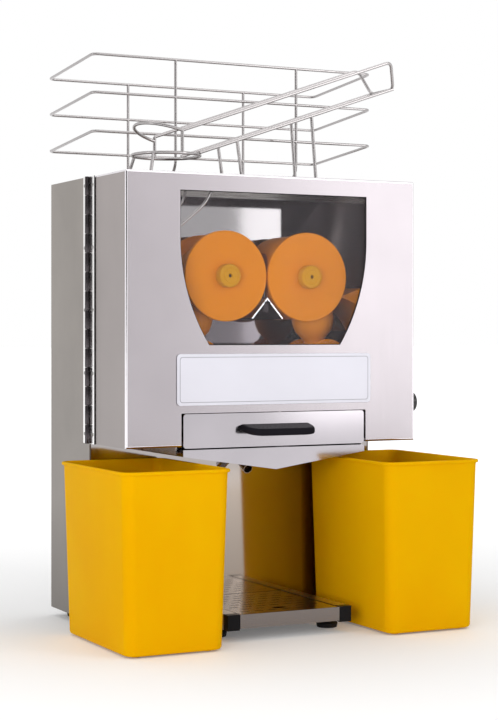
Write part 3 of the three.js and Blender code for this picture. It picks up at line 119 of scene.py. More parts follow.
def linear(rgb):
    """sRGB values from 0 to 255 as the linear colour that a shader takes."""
    out = []
    for value in rgb:
        c = value / 255
        out.append(c / 12.92 if c <= 0.04045 else ((c + 0.055) / 1.055) ** 2.4)
    return (*out, 1.0)


def shade(rgb, factor):
    return tuple(max(0, min(255, c * factor)) for c in rgb)


class Nodes:
    """Helpers that add nodes to a tree."""

    def __init__(self, tree):
        self.tree = tree

    def node(self, kind, **values):
        made = self.tree.nodes.new(kind)
        for key, value in values.items():
            setattr(made, key, value)
        return made

    def link(self, a, b):
        self.tree.links.new(a, b)

    def spread(self, value, low, high, start=0.3, end=0.7, interpolation="LINEAR"):
        """Low to high as the value goes from start to end."""
        made = self.node("ShaderNodeMapRange", interpolation_type=interpolation)
        made.inputs["From Min"].default_value = start
        made.inputs["From Max"].default_value = end
        made.inputs["To Min"].default_value = low
        made.inputs["To Max"].default_value = high
        self.link(value, made.inputs["Value"])
        return made.outputs["Result"]

    def combine(self, operation, *values):
        """A math node on sockets or numbers."""
        made = self.node("ShaderNodeMath", operation=operation)
        for value, socket in zip(values, made.inputs):
            if isinstance(value, bpy.types.NodeSocket):
                self.link(value, socket)
            else:
                socket.default_value = value
        return made.outputs[0]

    def background_rays(self):
        """1 for what the camera, a reflection or a clear pane sees, 0 for light on the object."""
        path = self.node("ShaderNodeLightPath")
        total = path.outputs["Is Camera Ray"]
        for other in ("Is Transmission Ray", "Is Glossy Ray"):
            total = self.combine("MAXIMUM", total, path.outputs[other])
        return total


class Shader(Nodes):
    """A Principled material with helpers that lay noise over its colour, roughness and bump."""

    def __init__(self, name, rgb, metallic, roughness):
        self.material = bpy.data.materials.new(name)
        self.material.use_nodes = True
        super().__init__(self.material.node_tree)
        self.main = self.tree.nodes["Principled BSDF"]
        self.main.inputs["Base Color"].default_value = linear(rgb)
        self.main.inputs["Metallic"].default_value = metallic
        self.main.inputs["Roughness"].default_value = roughness

    def noise(self, scale, stretch=EVEN, detail=3.0):
        source = self.node("ShaderNodeTexCoord")
        mapping = self.node("ShaderNodeMapping")
        mapping.inputs["Scale"].default_value = stretch
        self.link(source.outputs["Object"], mapping.inputs["Vector"])
        made = self.node("ShaderNodeTexNoise")
        made.inputs["Scale"].default_value = scale
        made.inputs["Detail"].default_value = detail
        made.inputs["Roughness"].default_value = 0.55
        self.link(mapping.outputs["Vector"], made.inputs["Vector"])
        return made.outputs["Fac"]

    def component(self, kind, output, axis):
        source = self.node(kind)
        split = self.node("ShaderNodeSeparateXYZ")
        self.link(source.outputs[output], split.inputs["Vector"])
        return split.outputs[axis]

    def place(self, axis):
        """Where the surface is along an axis, in metres."""
        return self.component("ShaderNodeTexCoord", "Object", axis)

    def facing(self, axis):
        """How far the surface faces along an axis, from -1 to 1."""
        return self.component("ShaderNodeNewGeometry", "True Normal", axis)

    def colours(self, value, *stops):
        ramp = self.node("ShaderNodeValToRGB")
        elements = ramp.color_ramp.elements
        while len(elements) < len(stops):
            elements.new(0.5)
        for element, (place, rgb) in zip(elements, stops):
            element.position = place
            element.color = linear(rgb)
        self.link(value, ramp.inputs["Fac"])
        self.link(ramp.outputs["Color"], self.main.inputs["Base Color"])
        return ramp.outputs["Color"]

    def clouded(self, scale, rgb, variation):
        """The colour in soft patches, a little darker and lighter."""
        return self.colours(self.noise(scale), (0.3, shade(rgb, 1 - variation)),
                            (0.7, shade(rgb, 1 + variation)))

    def rough(self, value, low, high):
        self.link(self.spread(value, low, high), self.main.inputs["Roughness"])

    def bump(self, value, strength, distance):
        made = self.node("ShaderNodeBump")
        made.inputs["Strength"].default_value = strength
        made.inputs["Distance"].default_value = distance
        self.link(value, made.inputs["Height"])
        self.link(made.outputs["Normal"], self.main.inputs["Normal"])


def brushed(name, rgb, roughness, grain=EVEN, variation=0.06, metallic=1.0, depth=0.03,
            streak=0.12, painted_shade=None):
    """Brushed sheet; painted_shade is (height, height, factor) in metres: it darkens by the factor
    from the first down to the second, a painted shade towards the foot."""
    s = Shader(name, rgb, metallic, roughness)
    lines = s.noise(BRUSH, grain)
    colour = s.clouded(7, rgb, variation)
    if painted_shade:
        high, low, factor = painted_shade
        scaled = s.node("ShaderNodeVectorMath", operation="SCALE")
        s.link(colour, scaled.inputs[0])
        s.link(s.spread(s.place("Z"), factor, 1.0, low, high), scaled.inputs["Scale"])
        s.link(scaled.outputs["Vector"], s.main.inputs["Base Color"])
    s.rough(lines, roughness * (1 - streak), roughness * (1 + streak))
    s.bump(lines, depth, BRUSH_DEPTH)
    return s.material


def moulded(name, rgb, roughness, variation=0.05, pebble=900, depth=0.05, coat=0.0, scatter=0.0,
            gloss=0.5, metallic=0.0):
    """Moulded plastic, rubber or a casting, with a fine pebbled grain."""
    s = Shader(name, rgb, metallic, roughness)
    s.clouded(14, rgb, variation)
    fine = s.noise(pebble, detail=2.0)
    s.rough(fine, roughness * 0.85, roughness * 1.2)
    s.bump(fine, depth, GRAIN_DEPTH)
    s.main.inputs["Specular IOR Level"].default_value = gloss
    s.main.inputs["Coat Weight"].default_value = coat
    s.main.inputs["Subsurface Weight"].default_value = scatter
    s.main.inputs["Subsurface Radius"].default_value = (0.004, 0.002, 0.0008)
    return s.material


def darkened_by_facing(name, plain, dark, roughness, streak, depth, grain, axis, start, end, along=False):
    """Brushed sheet that is dark where it faces across an axis, or else along it."""
    s = Shader(name, plain, 1.0, roughness)
    facing = s.facing(axis)
    if not along:
        facing = s.combine("ABSOLUTE", facing)
    mask = s.spread(facing, 0, 1, start, end)
    s.colours(mask, (0.0, plain if along else dark), (1.0, dark if along else plain))
    lines = s.noise(BRUSH, grain)
    s.rough(lines, roughness - streak, roughness + streak)
    s.bump(lines, depth, BRUSH_DEPTH)
    return s.material


def yellow_bin():
    """Yellow polypropylene in soft patches, with a faint moulded grain."""
    s = Shader("plastic_yellow_bin", (226, 168, 2), 0.0, 0.32)
    clouds = s.noise(5, (1, 1, 0.6))
    s.colours(clouds, (0.25, (221, 159, 1)), (0.75, (230, 176, 3)))
    fine = s.noise(1400, detail=2.0)
    s.rough(fine, 0.34, 0.42)
    s.bump(fine, 0.03, GRAIN_DEPTH)
    s.main.inputs["Subsurface Weight"].default_value = 0.35
    s.main.inputs["Subsurface Radius"].default_value = (0.008, 0.0035, 0.0005)
    s.main.inputs["Specular IOR Level"].default_value = 0.007
    return s.material


def tinted_pane():
    """Faintly smoked clear plastic with a sharp gloss."""
    s = Shader("pane_tinted", (150, 142, 148), 0.0, 0.06)
    s.main.inputs["Alpha"].default_value = 0.06
    s.rough(s.noise(9, (1, 1, 0.4)), 0.04, 0.1)
    s.material.use_transparent_shadow = True
    return s.material


def rail_metal():
    """Stainless tube whose front end is a moulded black stop."""
    stop_length, blend = 12.3, 0.0001
    s = Shader("rail_with_black_end", (200, 197, 194), 1.0, 0.28)
    s.main.inputs["Specular IOR Level"].default_value = 0.08
    edge = at(0, box("base_rail_left")[0].y + stop_length, 0).y
    mask = s.spread(s.place("Y"), 0, 1, edge - blend, edge + blend)
    s.colours(mask, (0.0, (22, 21, 23)), (1.0, (203, 200, 197)))
    s.link(mask, s.main.inputs["Metallic"])
    s.bump(s.noise(420, ALONG_Y), 0.05, BRUSH_DEPTH)
    return s.material


def front_sheet_metal():
    """Polished sheet with painted shade in a strip below the drums, darker and warmer towards the
    foot.
    """
    plain, painted_shade_band, foot, reach = (166, 163, 165), (112, 107, 112), (158, 146, 136), 0.6
    s = Shader("steel_front_sheet", (196, 195, 199), 1.0, 0.06)
    height = s.spread(s.place("Z"), 0, 1, 0.0, reach)
    # Darker and warmer towards the foot; the strip below the drums is painted shade.
    s.colours(height, (0.3, foot), (0.45, plain), (0.592, plain), (0.633, painted_shade_band), (0.71, painted_shade_band),
              (0.724, plain))
    s.rough(s.noise(BRUSH, ALONG_Z), 0.055, 0.065)
    return s.material


def divider_metal():
    """Bright folded ridge over a bar painted dark, a painted shade under the ridge."""
    bright, painted_shade, bar_half, bar_top, blend = (236, 235, 236), (52, 48, 50), 4.4, 448.6, 0.2
    s = Shader("steel_divider", bright, 1.0, 0.2)
    across = s.combine("ABSOLUTE", s.place("X"))
    aside = s.spread(across, 0, 1, bar_half * MM, (bar_half + blend) * MM)
    above = s.spread(s.place("Z"), 0, 1, bar_top * MM, (bar_top + blend) * MM)
    # The bar under the ridge is painted dark: painted shade.
    s.colours(s.combine("MAXIMUM", aside, above), (0.0, painted_shade), (1.0, bright))
    s.rough(s.noise(BRUSH, ALONG_X), 0.16, 0.24)
    return s.material


# The column's steel darkens towards the foot: a painted shade.
steel_side = brushed("steel_column", (145, 138, 132), 0.3, ALONG_Z, variation=0.04, depth=0.01,
                     streak=0.06, painted_shade=(0.6, 0.05, 0.66))
steel_door = brushed("steel_door", (168, 162, 166), 0.26, ALONG_Z, variation=0.02, depth=0.006,
                     streak=0.05)
# A darker copy of the door's steel for its side faces, darker still towards the foot: painted
# shade.
steel_door_side_painted_shade = brushed("steel_door_side_painted_shade", (157, 149, 147), 0.26, ALONG_Z, variation=0.02,
                          depth=0.006, streak=0.05, painted_shade=(0.6, 0.25, 0.8))
# The bends are smoother than the door's steel, a polish, and painted brighter: a painted highlight.
steel_bend_highlight = brushed("steel_door_bend_highlight", (226, 222, 226), 0.12, ALONG_Z, variation=0.02,
                     depth=0.004, streak=0.05)
steel_drawer = brushed("steel_drawer", (174, 169, 174), 0.12, ALONG_X, variation=0.03,
                       depth=0.008, streak=0.05)
steel_flat = brushed("steel_flat", (190, 187, 185), 0.28, ALONG_X)
steel_wire = brushed("steel_wire", (170, 166, 166), 0.2, variation=0.04, depth=0.0, streak=0.05)
steel_dark = brushed("steel_fastener", (150, 148, 146), 0.3, variation=0.08)
# Steel painted dark, a painted dark reflection on the hinge's round barrel; the knife takes it too.
steel_painted_dark = brushed("steel_hinge_barrel_painted_dark", (72, 68, 70), 0.2, ALONG_Z, variation=0.05,
                       depth=0.008)
plate = brushed("bare_plate", (213, 212, 221), 0.42, ALONG_X, variation=0.015, metallic=0.35,
                depth=0.015)
steel_back = front_sheet_metal()
# Painted shade: the grille's slot walls and the leaves' edges; the tray is darker where it faces up
steel_grille = darkened_by_facing("steel_grille", (196, 192, 190), (34, 30, 27), 0.22, streak=0.04,
                       depth=0.03, grain=ALONG_X, axis="Z", start=0.4, end=0.9)
steel_tray = darkened_by_facing("steel_tray", (124, 117, 114), (44, 36, 30), 0.24, streak=0.04, depth=0.02,
                     grain=ALONG_X, axis="Z", start=0.4, end=0.9, along=True)
# The leaves' edges are painted dark, a painted shade line along them.
steel_leaf = darkened_by_facing("steel_hinge_leaf", (244, 242, 241), (40, 37, 38), 0.16, streak=0.02,
                     depth=0.008, grain=ALONG_Z, axis="X", start=0.5, end=0.8)
rail = rail_metal()
orange = moulded("plastic_orange", (224, 134, 5), 0.4, variation=0.02, pebble=2200, depth=0.03,
                 scatter=0.05, gloss=0.06)
orange_soft = moulded("plastic_orange_ball", (232, 144, 26), 0.38, variation=0.02, pebble=2200,
                      depth=0.03, scatter=0.05, gloss=0.15)
amber = moulded("plastic_amber", (203, 144, 5), 0.4, variation=0.03, pebble=2200, depth=0.03,
                gloss=0.06)
yellow = yellow_bin()
black = moulded("plastic_black", (18, 17, 19), 0.2, variation=0.2, pebble=1600, depth=0.01,
                coat=0.2)
gloss_black = moulded("plastic_black_gloss", (30, 28, 33), 0.28, variation=0.1, pebble=1800,
                      depth=0.004, gloss=0.008)
black_matt = moulded("plastic_black_matt", (26, 25, 27), 0.5, variation=0.15, depth=0.12,
                     gloss=0.3)
rubber = moulded("rubber_foot", (22, 21, 22), 0.7, variation=0.15, pebble=500, depth=0.2,
                 gloss=0.3)
white_plastic = moulded("plastic_gear", (228, 224, 212), 0.45, variation=0.03, pebble=500)
plate_line = moulded("plate_keyline", (150, 148, 158), 0.5, variation=0.03, pebble=800,
                     depth=0.03)
cast = moulded("cast_metal", (150, 151, 153), 0.5, variation=0.06, pebble=260, depth=0.35,
               metallic=0.85)
pane = tinted_pane()


# Making pieces
def finish_piece(obj, body, material, smooth=True, angle=35):
    obj.data.materials.clear()
    obj.data.materials.append(material)
    if obj.type == "MESH" and smooth:
        for face in obj.data.polygons:
            face.use_smooth = True
        obj.data.set_sharp_from_angle(angle=math.radians(angle))
    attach(obj, body)


def modified(obj, kind, **values):
    modifier = obj.modifiers.new(kind.lower(), kind)
    for key, value in values.items():
        setattr(modifier, key, value)


def soften(obj, width, segments=2, angle=60):
    """Rounds the edges that are sharper than the angle, by a width in mm."""
    modified(obj, "BEVEL", width=width * MM, segments=segments, limit_method="ANGLE",
             angle_limit=math.radians(angle))


def new_mesh(name, vertices, faces):
    mesh = bpy.data.meshes.new(name)
    mesh.from_pydata([tuple(v) for v in vertices], [], faces)
    mesh.update()
    return placed(name, mesh)


def from_bmesh(name, bm):
    bmesh.ops.recalc_face_normals(bm, faces=bm.faces)
    mesh = bpy.data.meshes.new(name)
    bm.to_mesh(mesh)
    bm.free()
    return placed(name, mesh)


def merged(name, objects):
    """One object from several, which are removed."""
    bm = bmesh.new()
    for obj in objects:
        bm.from_mesh(obj.data)
        bpy.data.objects.remove(obj)
    return from_bmesh(name, bm)


def face_out(obj):
    bm = bmesh.new()
    bm.from_mesh(obj.data)
    bmesh.ops.recalc_face_normals(bm, faces=bm.faces)
    bm.to_mesh(obj.data)
    bm.free()


def circle(count):
    """The angles of a circle's points."""
    return [2 * math.pi * i / count for i in range(count)]


def joined(name, rings):
    """Faces between rings with the same count of points; a ring of one point closes the shape."""
    bm = bmesh.new()
    rings = [[bm.verts.new(point) for point in ring] for ring in rings]
    for low, high in zip(rings, rings[1:]):
        sides = max(len(low), len(high))
        if sides == 1:
            continue
        for i in range(sides):
            j = (i + 1) % sides
            if len(low) == 1:
                bm.faces.new((low[0], high[i], high[j]))
            elif len(high) == 1:
                bm.faces.new((low[i], high[0], low[j]))
            else:
                bm.faces.new((low[i], high[i], high[j], low[j]))
    return from_bmesh(name, bm)


def lathe(name, profile, place, axis, sides=48):
    """Turns a profile of (radius, distance along the axis), in mm, about an axis at a place."""
    to_axis = Vector((0, 0, 1)).rotation_difference(Vector(axis)).to_matrix()
    rings = []
    for radius, along in profile:
        angles = circle(sides) if radius else [0]
        local = [Vector((radius * math.cos(a), radius * math.sin(a), along)) * MM for a in angles]
        rings.append([place + to_axis @ point for point in local])
    return joined(name, rings)


def loft(name, rings):
    """Faces through rings with the same count of points, closed at both ends."""
    count = len(rings[0])
    last = (len(rings) - 1) * count
    faces = []
    for low in range(0, last, count):
        high = low + count
        for i in range(count):
            j = (i + 1) % count
            faces.append((low + i, low + j, high + j, high + i))
    faces.append(tuple(reversed(range(count))))
    faces.append(tuple(range(last, last + count)))
    obj = new_mesh(name, [point for ring in rings for point in ring], faces)
    face_out(obj)
    return obj


def prism(name, near, far):
    """A solid between two outlines with the same count of points."""
    count = len(near)
    faces = [tuple(range(count)), tuple(reversed(range(count, 2 * count)))]
    for i in range(count):
        j = (i + 1) % count
        faces.append((i, i + count, j + count, j))
    return new_mesh(name, near + far, faces)


def frame_xz(name, outer, inner, y0, y1):
    """A flat ring between two outlines in x and z with the same count of points, in mm."""
    count = len(outer)
    vertices = []
    for outline in (outer, inner):
        for y in (y0, y1):
            vertices += [at(x, y, z) for x, z in outline]
    faces = []
    for i in range(count):
        j = (i + 1) % count
        front, back, inner_front, inner_back = (k * count for k in range(4))
        faces.append((front + i, front + j, inner_front + j, inner_front + i))
        faces.append((back + i, inner_back + i, inner_back + j, back + j))
        faces.append((front + i, back + i, back + j, front + j))
        faces.append((inner_front + i, inner_front + j, inner_back + j, inner_back + i))
    return new_mesh(name, vertices, faces)


def rounded_outline(x0, x1, y0, y1, r):
    """A rectangle's outline with round corners."""
    steps = 8
    corners = ((x1 - r, y0 + r, -90), (x1 - r, y1 - r, 0), (x0 + r, y1 - r, 90),
               (x0 + r, y0 + r, 180))
    points = []
    for cx, cy, start in corners:
        for i in range(steps + 1):
            a = math.radians(start + 90 * i / steps)
            points.append((cx + r * math.cos(a), cy + r * math.sin(a)))
    return points


def curve(start, turn, end, t):
    """A point of the quadratic curve from start to end that leans towards turn."""
    return (1 - t) ** 2 * start + 2 * t * (1 - t) * turn + t * t * end


def fillet(points, radius, steps=6):
    """A path of points with its inner corners rounded by a radius in mm."""
    out = [points[0]]
    for before, corner, after in zip(points, points[1:], points[2:]):
        a = before - corner
        b = after - corner
        start = corner + a.normalized() * min(radius * MM, a.length / 2)
        end = corner + b.normalized() * min(radius * MM, b.length / 2)
        out += [curve(start, corner, end, i / steps) for i in range(steps + 1)]
    out.append(points[-1])
    return out


def wires(name, paths, radius):
    """Round wires as one curve; each path is (points, closed)."""
    data = bpy.data.curves.new(name, "CURVE")
    data.dimensions = "3D"
    data.bevel_depth = radius * MM
    data.bevel_resolution = 4
    data.use_fill_caps = True
    for points, closed in paths:
        spline = data.splines.new("POLY")
        spline.points.add(len(points) - 1)
        for target, point in zip(spline.points, points):
            target.co = (*point, 1.0)
        spline.use_cyclic_u = closed
    return placed(name, data)


def dress(name, material, bevel=0.0):
    """A CAD node keeps its shape and gets its material and softened edges."""
    obj = nodes[name]
    obj.data.materials.clear()
    obj.data.materials.append(material)
    if bevel:
        soften(obj, bevel, angle=35)


# Nodes that keep their shape
dress("column_shell", steel_side, 1.0)
dress("front_sheet", steel_back)
dress("rear_cover", steel_flat)
dress("roof_plate", steel_flat, 0.3)
dress("door_window", pane)
dress("hinge_pin", steel_wire)
dress("latch_keeper", steel_flat, 0.3)
dress("gearbox_bracket", steel_flat, 0.5)
dress("gearbox", cast, 2.0)
dress("drive_motor", cast, 0.5)
dress("divider", divider_metal(), 0.4)
dress("knife", steel_painted_dark)
for hand in ("left", "right"):
    dress(f"peel_chute_{hand}", steel_flat)
    dress(f"base_rail_{hand}", rail, 0.8)
    dress(f"peel_wedge_{hand}", orange, 1.0)
for quarter in SHAFTS:
    dress(f"gear_{quarter}", white_plastic, 0.3)
    dress(f"axle_{quarter}", steel_wire)
    dress(f"bearing_{quarter}", cast, 0.5)
dress("filter_drawer", steel_drawer, 0.35)
dress("juice_collector", steel_drawer, 0.35)
dress("drip_tray", steel_tray, 0.35)
dress("drip_grille", steel_grille, 0.3)
dress("cable_gland", black_matt, 0.8)
dress("switch_bezel", black_matt, 0.5)
dress("switch_rocker", black, 0.5)


# Door and hinge
def door_skin():
    """The door's folded sheet, as the CAD has it, with its bends rounded."""
    bend_radius, bend_steps, tolerance = 2.8, 6, 1e-5
    bent, painted_shade_side = 1, 2  # material slots
    bm = bmesh.new()
    bm.from_mesh(nodes["door_shell"].data)
    bmesh.ops.remove_doubles(bm, verts=bm.verts, dist=1e-6)
    bmesh.ops.dissolve_limit(bm, angle_limit=math.radians(0.5), verts=bm.verts, edges=bm.edges)
    low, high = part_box("door_shell")

    def together(edge, axis, value):
        return all(abs(vertex.co[axis] - value) < tolerance for vertex in edge.verts)

    bends = []
    for edge in bm.edges:
        front = together(edge, 1, low.y)
        top, bottom = together(edge, 2, high.z), together(edge, 2, low.z)
        side = together(edge, 0, low.x) or together(edge, 0, high.x)
        if (side and (front or top)) or (front and (top or bottom)):
            bends.append(edge)
    made = bmesh.ops.bevel(bm, geom=bends, offset=bend_radius * MM, segments=bend_steps,
                           profile=0.5, affect="EDGES")
    for face in made["faces"]:
        face.material_index = bent
    skin = from_bmesh("door_skin", bm)
    # Finishing a piece resets its faces' material slots, so the bends are noted before it
    rounded = [face.index for face in skin.data.polygons if face.material_index == bent]
    finish_piece(skin, "door", steel_door, angle=30)
    # The bends take the brighter copy of the steel, a painted highlight.
    skin.data.materials.append(steel_bend_highlight)
    skin.data.materials.append(steel_door_side_painted_shade)
    # The side faces take the darker copy of the steel, a painted shade.
    for face in skin.data.polygons:
        if abs(face.normal.x) > 0.99:  # it faces left or right
            face.material_index = painted_shade_side
    for index in rounded:
        skin.data.polygons[index].material_index = bent
    modified(skin, "WEIGHTED_NORMAL", keep_sharp=True)
    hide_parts("door_shell")


def hinge_half(name, body, node, first, side):
    """A long hinge's leaf with its tongues, and the knuckles that they roll into."""
    count, gap, outer, bore = 14, 0.2, 3.3, 1.8
    bottom = door_low.z
    pitch = (TOP - bottom) / count
    far, edge, near = (HINGE_Y + side * reach for reach in (20, 3.7, 0.3))
    outline = [(far, bottom), (far, TOP), (edge, TOP)]
    knuckles = []
    for i in reversed(range(first, count, 2)):
        z0 = bottom + i * pitch + gap
        z1 = bottom + (i + 1) * pitch - gap
        outline += [(edge, z1), (near, z1), (near, z0), (edge, z0)]
        length = z1 - z0
        profile = [
            (bore, 0), (outer - 0.5, 0), (outer - 0.1, 0.25), (outer, 0.7), (outer, length - 0.7),
            (outer - 0.1, length - 0.25), (outer - 0.5, length), (bore, length), (bore, 0)]
        knuckles.append(lathe(f"{name}_knuckle_{i}", profile, at(HINGE_X, HINGE_Y, z0),
                              (0, 0, 1), 32))
    outline.append((edge, bottom))
    leaf = prism(name, [at(LEAF_OUTSIDE, y, z) for y, z in outline],
                 [at(LEAF_INSIDE, y, z) for y, z in outline])
    face_out(leaf)
    soften(leaf, 0.25)
    finish_piece(leaf, body, steel_leaf, smooth=False)
    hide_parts(node)
    finish_piece(merged(f"{name}_barrel", knuckles), body, steel_painted_dark, angle=50)


door_skin()
hinge_half("hinge_door", "door", "hinge_leaf_door", 0, -1)
hinge_half("hinge_body", "machine", "hinge_leaf_body", 1, 1)


# Name plate: bare, with rounded edges and a thin keyline
plate_low, plate_high = box("name_plate")


def plate_outline(inset, radius):
    return rounded_outline(plate_low.x + inset, plate_high.x - inset, plate_low.z + inset,
                           plate_high.z - inset, radius)


outline = plate_outline(0, 5)
name_plate = prism("bare_plate", [at(x, plate_low.y, z) for x, z in outline],
                   [at(x, plate_high.y, z) for x, z in outline])
soften(name_plate, 0.4, 3)
finish_piece(name_plate, "door", plate)
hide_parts("name_plate")
keyline = frame_xz("plate_keyline", plate_outline(4, 4), plate_outline(4.8, 3.4),
                   plate_low.y - 0.06, plate_low.y + 0.1)
finish_piece(keyline, "door", plate_line, smooth=False)


# Window trim: a thin dark seal that follows the opening
def window_outline(inset):
    """The opening's outline, straight above a height and bowed inwards below it."""
    overlap, straight, bow, steps = 10, 532, 262, 24
    low, high = box("door_window")
    half, top, bottom = high.x - overlap, high.z - overlap, low.z + overlap
    bow_x, radius = half - bow, bow - inset
    reach = math.asin((straight - bottom - inset) / radius)
    points = []
    for i in range(steps + 1):
        a = -reach + reach * i / steps
        points.append((bow_x + radius * math.cos(a), straight + radius * math.sin(a)))
    points.append((half - inset, top - inset))
    return points + [(-x, z) for x, z in reversed(points)]


seal = frame_xz("window_seal", window_outline(0.15), window_outline(1.1), 1.2, 2.25)
finish_piece(seal, "door", black_matt, smooth=False)


# Screws, each sunk a little into what it holds
def screw_head(name, place, axis, radius, body):
    """A pan head with a recess."""
    height = 1.2
    profile = [
        (0, 0), (radius, 0), (radius, height * 0.3), (radius * 0.86, height * 0.75),
        (radius * 0.5, height), (radius * 0.22, height), (radius * 0.2, height * 0.35),
        (0, height * 0.3)]
    finish_piece(lathe(name, profile, place, axis, 20), body, steel_dark)


SUNK = 0.05
BRACKET_BACK = 211.2
PIN_TO_SCREW = 14
for i, z in enumerate((268, 351, 437, 522, 607)):
    for name, side, body in (("door", -1, "door"), ("body", 1, "machine")):
        place = at(LEAF_OUTSIDE + 2 * SUNK, HINGE_Y + side * PIN_TO_SCREW, z)
        screw_head(f"hinge_screw_{name}_{i}", place, (-1, 0, 0), 2.6, body)
for i, (x, z) in enumerate([(sx * 205, z) for z in (30, 230, 400, 600) for sx in (-1, 1)]):
    screw_head(f"cover_screw_{i}", at(x, BACK - SUNK, z), (0, 1, 0), 3.4, "machine")
for i, (x, y) in enumerate([(-200, 20), (190, 20), (-200, 112), (200, 112), (0, 112)]):
    screw_head(f"roof_screw_{i}", at(x, y, ROOF_TOP - SUNK), (0, 0, 1), 2.8, "machine")
for i, (x, z) in enumerate([(26, 438), (99, 438), (26, 528), (99, 528)]):
    screw_head(f"gearbox_screw_{i}", at(x, BRACKET_BACK, z), (0, 1, 0), 3.4, "machine")


# Louvre hoods: a bent blade behind every slot of the rear cover
def louvre_blade(name, x0, x1, z):
    """A pressed hood that stands inward behind a slot whose top edge is at z."""
    profile = [(276.0, 0.6), (274.0, 0.3), (270.5, -2.2), (269.6, -4.2), (270.2, -4.4),
               (271.2, -2.8), (274.2, -0.5), (276.0, -0.2)]
    ends = [[at(x, y, z + rise) for y, rise in profile] for x in (x1, x0)]
    finish_piece(prism(name, *ends), "machine", steel_flat)


half_length, apart, pitch = 55, 136, 16
for block, top in enumerate((560, 200)):
    for column in range(2):
        middle = (column - 0.5) * apart
        for row in range(6):
            louvre_blade(f"louvre_{block}_{column}_{row}", middle - half_length,
                         middle + half_length, top - row * pitch)


# Wire goods
WIRE = 2.0
RAMP_WIRE = 2.25
WIRE_END = ROOF_TOP + 0.4  # where wires that stand on the roof end


def basket_paths():
    """Three hoops, lower at the back, on a floor of two bent wires and two across."""
    half, front, back, tilt, bend = 218, 120, 291, 13, 9
    across, turn, floor_front = 95, 18, 136
    hoops = (681, 734, 786)
    floor = TOP + 0.3 + WIRE
    paths = []
    for level in hoops:
        rear = level - tilt
        corners = [at(0, back, rear), at(-half, back, rear), at(-half, front, level),
                   at(half, front, level), at(half, back, rear), at(0, back, rear)]
        paths.append((fillet(corners, bend)[:-1], True))
    for x in (-across, across):
        corners = [
            at(x, back, hoops[-1] - tilt), at(x, back, floor + turn), at(x, back - turn, floor),
            at(x, floor_front, floor), at(x, front, floor + turn), at(x, front, hoops[-1])]
        paths.append((fillet(corners, bend), False))
    for y in (floor_front + bend, back - turn - bend):
        paths.append(([at(-across, y, floor), at(across, y, floor)], False))
    return paths


def ramp_paths():
    """The sloping ramp on its legs, and the two hoops round its lower end."""
    middle, up, low = 58, 46, 30  # half widths of the upper and the lower wires
    top_end, foot_end = (188.6, 787.5), (202, 752)
    top_start, foot_start = (-133.8, 675), (-101, 648)
    hoop_x, hoop_z, knee_z, spread = -137, 645, 620, 9
    hoop_steps = 24

    def upper(end, side):
        return at(end[0], middle + side * up, end[1])

    def lower(end, side):
        return at(end[0], middle + side * low, end[1])

    corners = [upper(top_start, -1), upper(top_end, -1), lower(foot_end, -1), lower(foot_end, 1),
               upper(top_end, 1), upper(top_start, 1)]
    paths = [(fillet(corners, 9), False)]
    collar = []
    for i in range(hoop_steps + 1):
        a = -math.pi / 2 - math.pi * i / hoop_steps
        rise = -3 - 13 * math.cos(a) - 3 * math.sin(a)
        collar.append(at(top_start[0] + up * math.cos(a), middle + up * math.sin(a),
                         top_start[1] + rise))
    paths.append((collar, False))
    hoop = [at(hoop_x + up * math.cos(a), middle + up * math.sin(a), hoop_z)
            for a in circle(2 * hoop_steps)]
    paths.append((hoop, True))
    slope = (foot_end[1] - foot_start[1]) / (foot_end[0] - foot_start[0])
    diagonal = math.sqrt(0.5)
    for side in (-1, 1):
        paths.append(([lower(foot_start, side), lower(foot_end, side)], False))
        paths.append(([upper(top_start, side), upper((top_start[0], hoop_z), side)], False))
        for x in (-45, 70):
            z = foot_start[1] + slope * (x - foot_start[0])
            leg = [(x, z), (x + 7, knee_z), (x + 7, WIRE_END)]
            paths.append((fillet([lower(point, side) for point in leg], 5), False))
        leg = []
        for reach, z in ((up, hoop_z), (up + spread, knee_z), (up + spread, WIRE_END)):
            leg.append(at(hoop_x - diagonal * reach, middle + side * diagonal * reach, z))
        paths.append((fillet(leg, 5), False))
    return paths


def guide_paths():
    """Two bent wires that lead the fruit from the feed hole, and two across."""
    corners = [(-89, 608.7), (-89, 599.7), (-97, 580), (-152, 535), (-178, 553.1),
               (-180, 599.7), (-180, 608.7)]
    planes = (16, 100)
    paths = [(fillet([at(x, y, z) for x, z in corners], 18, 8), False) for y in planes]
    for x, z in ((-165, 544), (-179, 576.4)):
        paths.append(([at(x, y, z) for y in planes], False))
    return paths


for name, node, paths, radius in (
        ("basket_wires", "fruit_basket", basket_paths(), WIRE),
        ("ramp_wires", "feed_ramp", ramp_paths(), RAMP_WIRE),
        ("guide_wires", "fruit_guide", guide_paths(), WIRE)):
    obj = wires(name, paths, radius)
    finish_piece(obj, "machine", steel_wire)
    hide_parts(node)


# Drums with smooth cups and balls
BORE = 8.3
SHAFT_AXIS = (0, 1, 0)


def around(side, first):
    """Three even angles round a shaft, numbered, and mirrored on the right."""
    for i in range(3):
        a = first + 2 * math.pi * i / 3
        yield i, a if side < 0 else math.pi - a


def ball(name, radius, place):
    bm = bmesh.new()
    bmesh.ops.create_uvsphere(bm, u_segments=40, v_segments=24, radius=radius * MM)
    bmesh.ops.rotate(bm, cent=(0, 0, 0), matrix=Matrix.Rotation(math.pi / 2, 3, "X"),
                     verts=bm.verts)
    bmesh.ops.translate(bm, vec=place, verts=bm.verts)
    return from_bmesh(name, bm)


def carved(name, base, cutters):
    """The base less its cutters, as a new object; they are all removed."""
    for cutter in cutters:
        modified(base, "BOOLEAN", operation="DIFFERENCE", solver="EXACT", object=cutter)
    graph = bpy.context.evaluated_depsgraph_get()
    made = placed(name, bpy.data.meshes.new_from_object(base.evaluated_get(graph)))
    for used in (base, *cutters):
        bpy.data.objects.remove(used)
    return made


